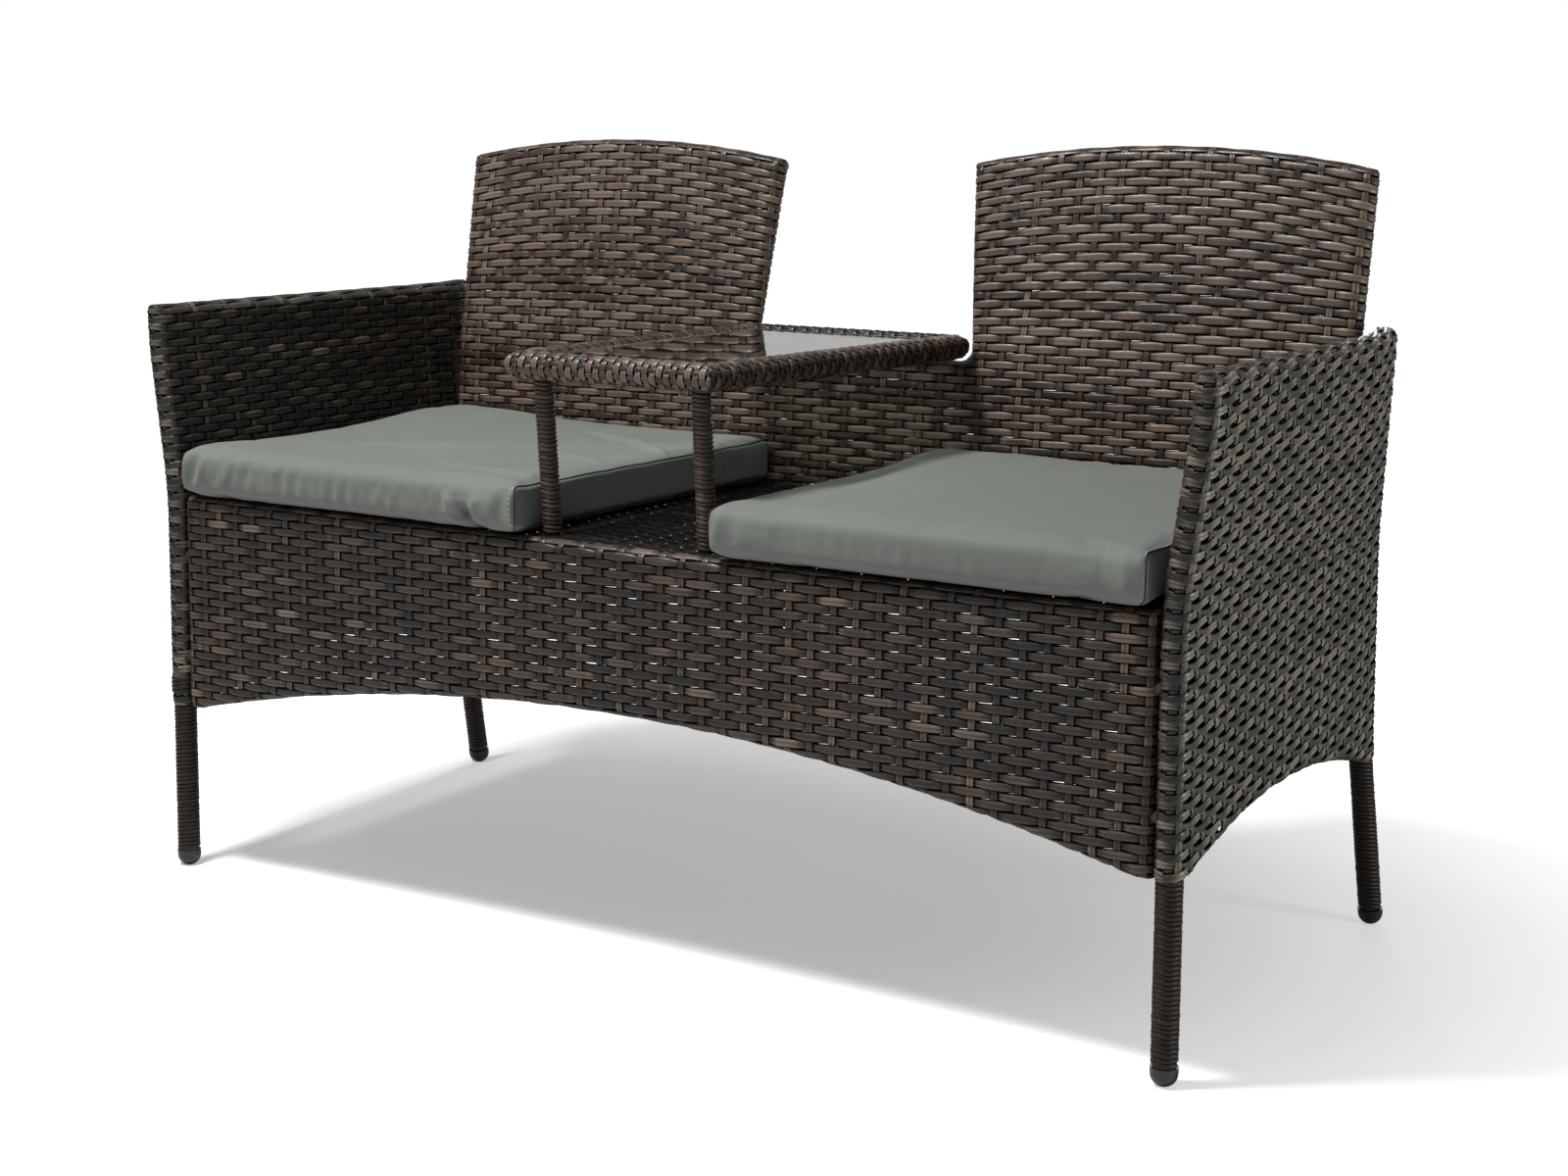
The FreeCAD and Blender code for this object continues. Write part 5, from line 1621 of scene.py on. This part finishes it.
def left_cushion() -> Cushion:
    """Describe the left cushion, which lies a little rumpled."""
    creases = [Crease((-262, 72), (-131, 2), 4.5, 6.0), Crease((-206, -97), (-138, -110), 4.0, 6.0),
               Crease((-420, -150), (-330, -115), 2.0, 7.0), Crease((-250, -215), (-125, -235), 3.0, 8.0)]
    creases += [Crease((-340 + 26 * i, -140 + 30 * i), (-205 + 22 * i, -48 + 32 * i), 2.6, 5.0)
                for i in range(5)]
    puckers = [Pucker(-552, 4.0, 4, 8, 0.2, 1.1), Pucker(-542, -3.5, 4, 10, 0.2, 1.1),
               Pucker(-530, 3.5, 5, 12, 0.2, 1.1), Pucker(-512, -3.0, 6, 16, 0.2, 1.1),
               Pucker(-494, 3.6, 5, 18, 0.3, 1.1), Pucker(-463, -1.6, 9, 20, 0.4),
               Pucker(-431, 1.8, 6, 22, 0.5, 1.1), Pucker(-398, -1.4, 12, 12, 0.4),
               Pucker(-321, 1.0, 16, 8), Pucker(-287, -1.8, 7, 14, 0.4),
               Pucker(-226, 1.2, 14, -8), Pucker(-190, 6.5, 7, -22, -0.2, 0.75),
               Pucker(-172, -13.0, 6, -18, -0.2, 0.55), Pucker(-150, 6.0, 12, -10, -0.2, 0.8),
               Pucker(-122, -3.0, 8, 0, 0.1)]
    raised = [(-520.0, 120.0, 11.0, 110.0), (-545.0, -250.0, 3.0, 60.0), (-320.0, -40.0, 4.0, 150.0)]
    return Cushion("cushion_cover_left", "cushion_foam_left", Body.LEFT_CUSHION, "left_cushion",
                   creases, puckers, raised, True, 2.4, 3.0, 2.0, 9.0)


def right_cushion() -> Cushion:
    """Describe the right cushion, which lies smooth."""
    creases = [Crease((170, -120), (150, 40), -3.0, 16.0), Crease((150, 90), (140, 170), 2.5, 18.0),
               Crease((200, -262), (480, -264), 1.2, 6.0)]
    puckers = [Pucker(134, 2.2, 5, 6, 0.3), Pucker(150, -1.6, 8, 6, 0.2), Pucker(210, -1.2, 14),
               Pucker(330, 1.4, 20), Pucker(470, -1.2, 18),
               Pucker(528, -1.6, 9, -6, 0.1), Pucker(548, 2.6, 6, -6, 0.2)]
    raised = [(200.0, 130.0, 8.0, 100.0), (430.0, 120.0, 6.0, 130.0), (330.0, -60.0, 4.0, 150.0)]
    return Cushion("cushion_cover_right", "cushion_foam_right", Body.RIGHT_CUSHION, "right_cushion",
                   creases, puckers, raised, False, 0.5, 3.0, 3.0, 9.0)


@dataclass(frozen=True)
class Lamp:
    """A soft rectangular lamp."""

    name: str
    place: Triple
    aim: Triple
    size: tuple[float, float]
    power: float
    colour: Triple

    def build(self) -> None:
        """Place the lamp."""
        data = bpy.data.lights.new(self.name, "AREA")
        data.shape, (data.size, data.size_y) = "RECTANGLE", self.size
        data.energy, data.color = self.power, self.colour
        lamp = new_object(self.name, data)
        lamp.location = self.place
        lamp.rotation_euler = (Vector(self.aim) - Vector(self.place)).to_track_quat("-Z", "Y").to_euler()


LAMPS = (
    Lamp("top", (-0.6, -1.0, 2.8), (0.05, 0.0, 0.3), (0.55, 0.45), 92.0, (0.98, 1.0, 0.98)),
    Lamp("front", (-0.9, -3.4, 1.3), (0, 0, 0.5), (0.5, 0.4), 7.0, (1.0, 0.91, 0.80)),
    Lamp("right", (3.2, 0.3, 0.36), (0.6, 0, 0.4), (0.8, 0.5), 36.0, (0.93, 1.0, 0.93)),
    Lamp("rear", (-0.6, 3.4, 1.5), (0, 0, 0.45), (1.4, 0.8), 16.0, (1.0, 1.0, 0.98)),
)


@dataclass
class Studio:
    """The floor, lamps, world and camera."""

    focal: float = 54.18
    yaw: float = 31.07
    pitch: float = 10.58
    roll: float = 0.72
    eye: Triple = (1.326, -2.122, 0.812)
    centre_px: tuple[float, float] = (811.7, 598.0)
    floor_half: float = 14.0

    def camera(self) -> None:
        """Place the camera at the photograph's view."""
        data = bpy.data.cameras.new("view")
        data.lens, data.sensor_width = self.focal, 36.0
        width, height = IMAGE_SIZE
        data.shift_x = (width / 2 - self.centre_px[0]) / width
        data.shift_y = (self.centre_px[1] - height / 2) / width
        yaw, pitch, roll = (math.radians(v) for v in (self.yaw, self.pitch, self.roll))
        back = Vector((math.sin(yaw) * math.cos(pitch), -math.cos(yaw) * math.cos(pitch), math.sin(pitch)))
        right = Vector((math.cos(yaw), math.sin(yaw), 0.0))
        up = back.cross(right)
        turned_right = right * math.cos(roll) + up * math.sin(roll)
        turned_up = up * math.cos(roll) - right * math.sin(roll)
        axes = Matrix((turned_right, turned_up, back)).transposed().to_4x4()
        camera = new_object("view", data)
        camera.matrix_world = Matrix.Translation(self.eye) @ axes
        bpy.context.scene.camera = camera

    def floor(self) -> None:
        """Lay the pale floor; for camera rays it glows, weakly near the bench as painted light that lifts the
        shadow there and fully farther out, where it reads white.
        """
        mesh = bpy.data.meshes.new("floor")
        half = self.floor_half
        mesh.from_pydata([(-half, -half, 0), (half, -half, 0), (half, half, 0), (-half, half, 0)], [],
                         [(0, 1, 2, 3)])
        floor = new_object("floor", mesh)
        material, tree, shader = start_material("floor_white")
        preset(shader, {"Base Color": (0.93, 0.93, 0.93, 1), "Roughness": 0.9, "Specular IOR Level": 0.1,
                        "Emission Color": (1, 1, 1, 1)})
        place = tree.shifted("ADD", tree.add("ShaderNodeTexCoord").outputs["Object"], (0.16, 0.0, 0.0))
        reach = tree.add("ShaderNodeVectorMath", operation="LENGTH")
        tree.join(tree.shifted("MULTIPLY", place, (0.62, 0.72, 1.0)), reach.inputs[0])
        # painted light: camera-ray glow of 0.3 near the bench lifts the shadow there, rising to 1.0 farther
        # out
        fade = tree.remap(reach.outputs["Value"], (0.2, 1.05), (0.30, 1.0), interpolation_type="SMOOTHSTEP")
        path = tree.add("ShaderNodeLightPath")
        glow = tree.sums("MULTIPLY", fade, path.outputs["Is Camera Ray"])
        tree.join(glow, shader.inputs["Emission Strength"])
        mesh.materials.append(material)

    def world(self) -> None:
        """Make the world: white where it is seen, softer where it lights."""
        world = bpy.data.worlds.new("studio")
        bpy.context.scene.world = world
        world.use_nodes = True
        tree = Tree(world.node_tree.nodes, world.node_tree.links)
        tree.nodes.clear()
        seen = tree.add("ShaderNodeBackground", Color=(1, 1, 1, 1), Strength=1.0)
        lit = tree.add("ShaderNodeBackground", Color=(0.98, 1.0, 0.97, 1), Strength=0.11)
        path = tree.add("ShaderNodeLightPath")
        rays = tree.sums("MAXIMUM", path.outputs["Is Camera Ray"],
                         tree.sums("MAXIMUM", tree.sums("MULTIPLY", path.outputs["Is Glossy Ray"], 0.45),
                                   path.outputs["Is Transmission Ray"]))
        mix = tree.add("ShaderNodeMixShader")
        tree.join(rays, mix.inputs[0])
        tree.join(lit.outputs[0], mix.inputs[1])
        tree.join(seen.outputs[0], mix.inputs[2])
        out = tree.add("ShaderNodeOutputWorld")
        tree.join(mix.outputs[0], out.inputs[0])

    def build(self) -> None:
        """Set the whole studio up."""
        scene = bpy.context.scene
        scene.view_settings.view_transform = "Standard"
        self.world()
        self.floor()
        for lamp in LAMPS:
            lamp.build()
        self.camera()


def main() -> None:
    """Build the looks of the bench in order."""
    logging.basicConfig(level=logging.INFO, format="%(name)s: %(message)s")
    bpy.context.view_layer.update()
    finishes = Finishes()
    finishes.dress_nodes()
    Apron().build(finishes)
    SeatDeck().build(finishes)
    Backrest().build(finishes)
    for left in (False, True):
        arm = ArmSide()
        arm.build(finishes, left)
        arm.build_legs(finishes, left)
    TeaTable().build(finishes)
    for cushion in (left_cushion(), right_cushion()):
        cushion.build(finishes)
    Studio().build()


if __name__ == "__main__":
    main()
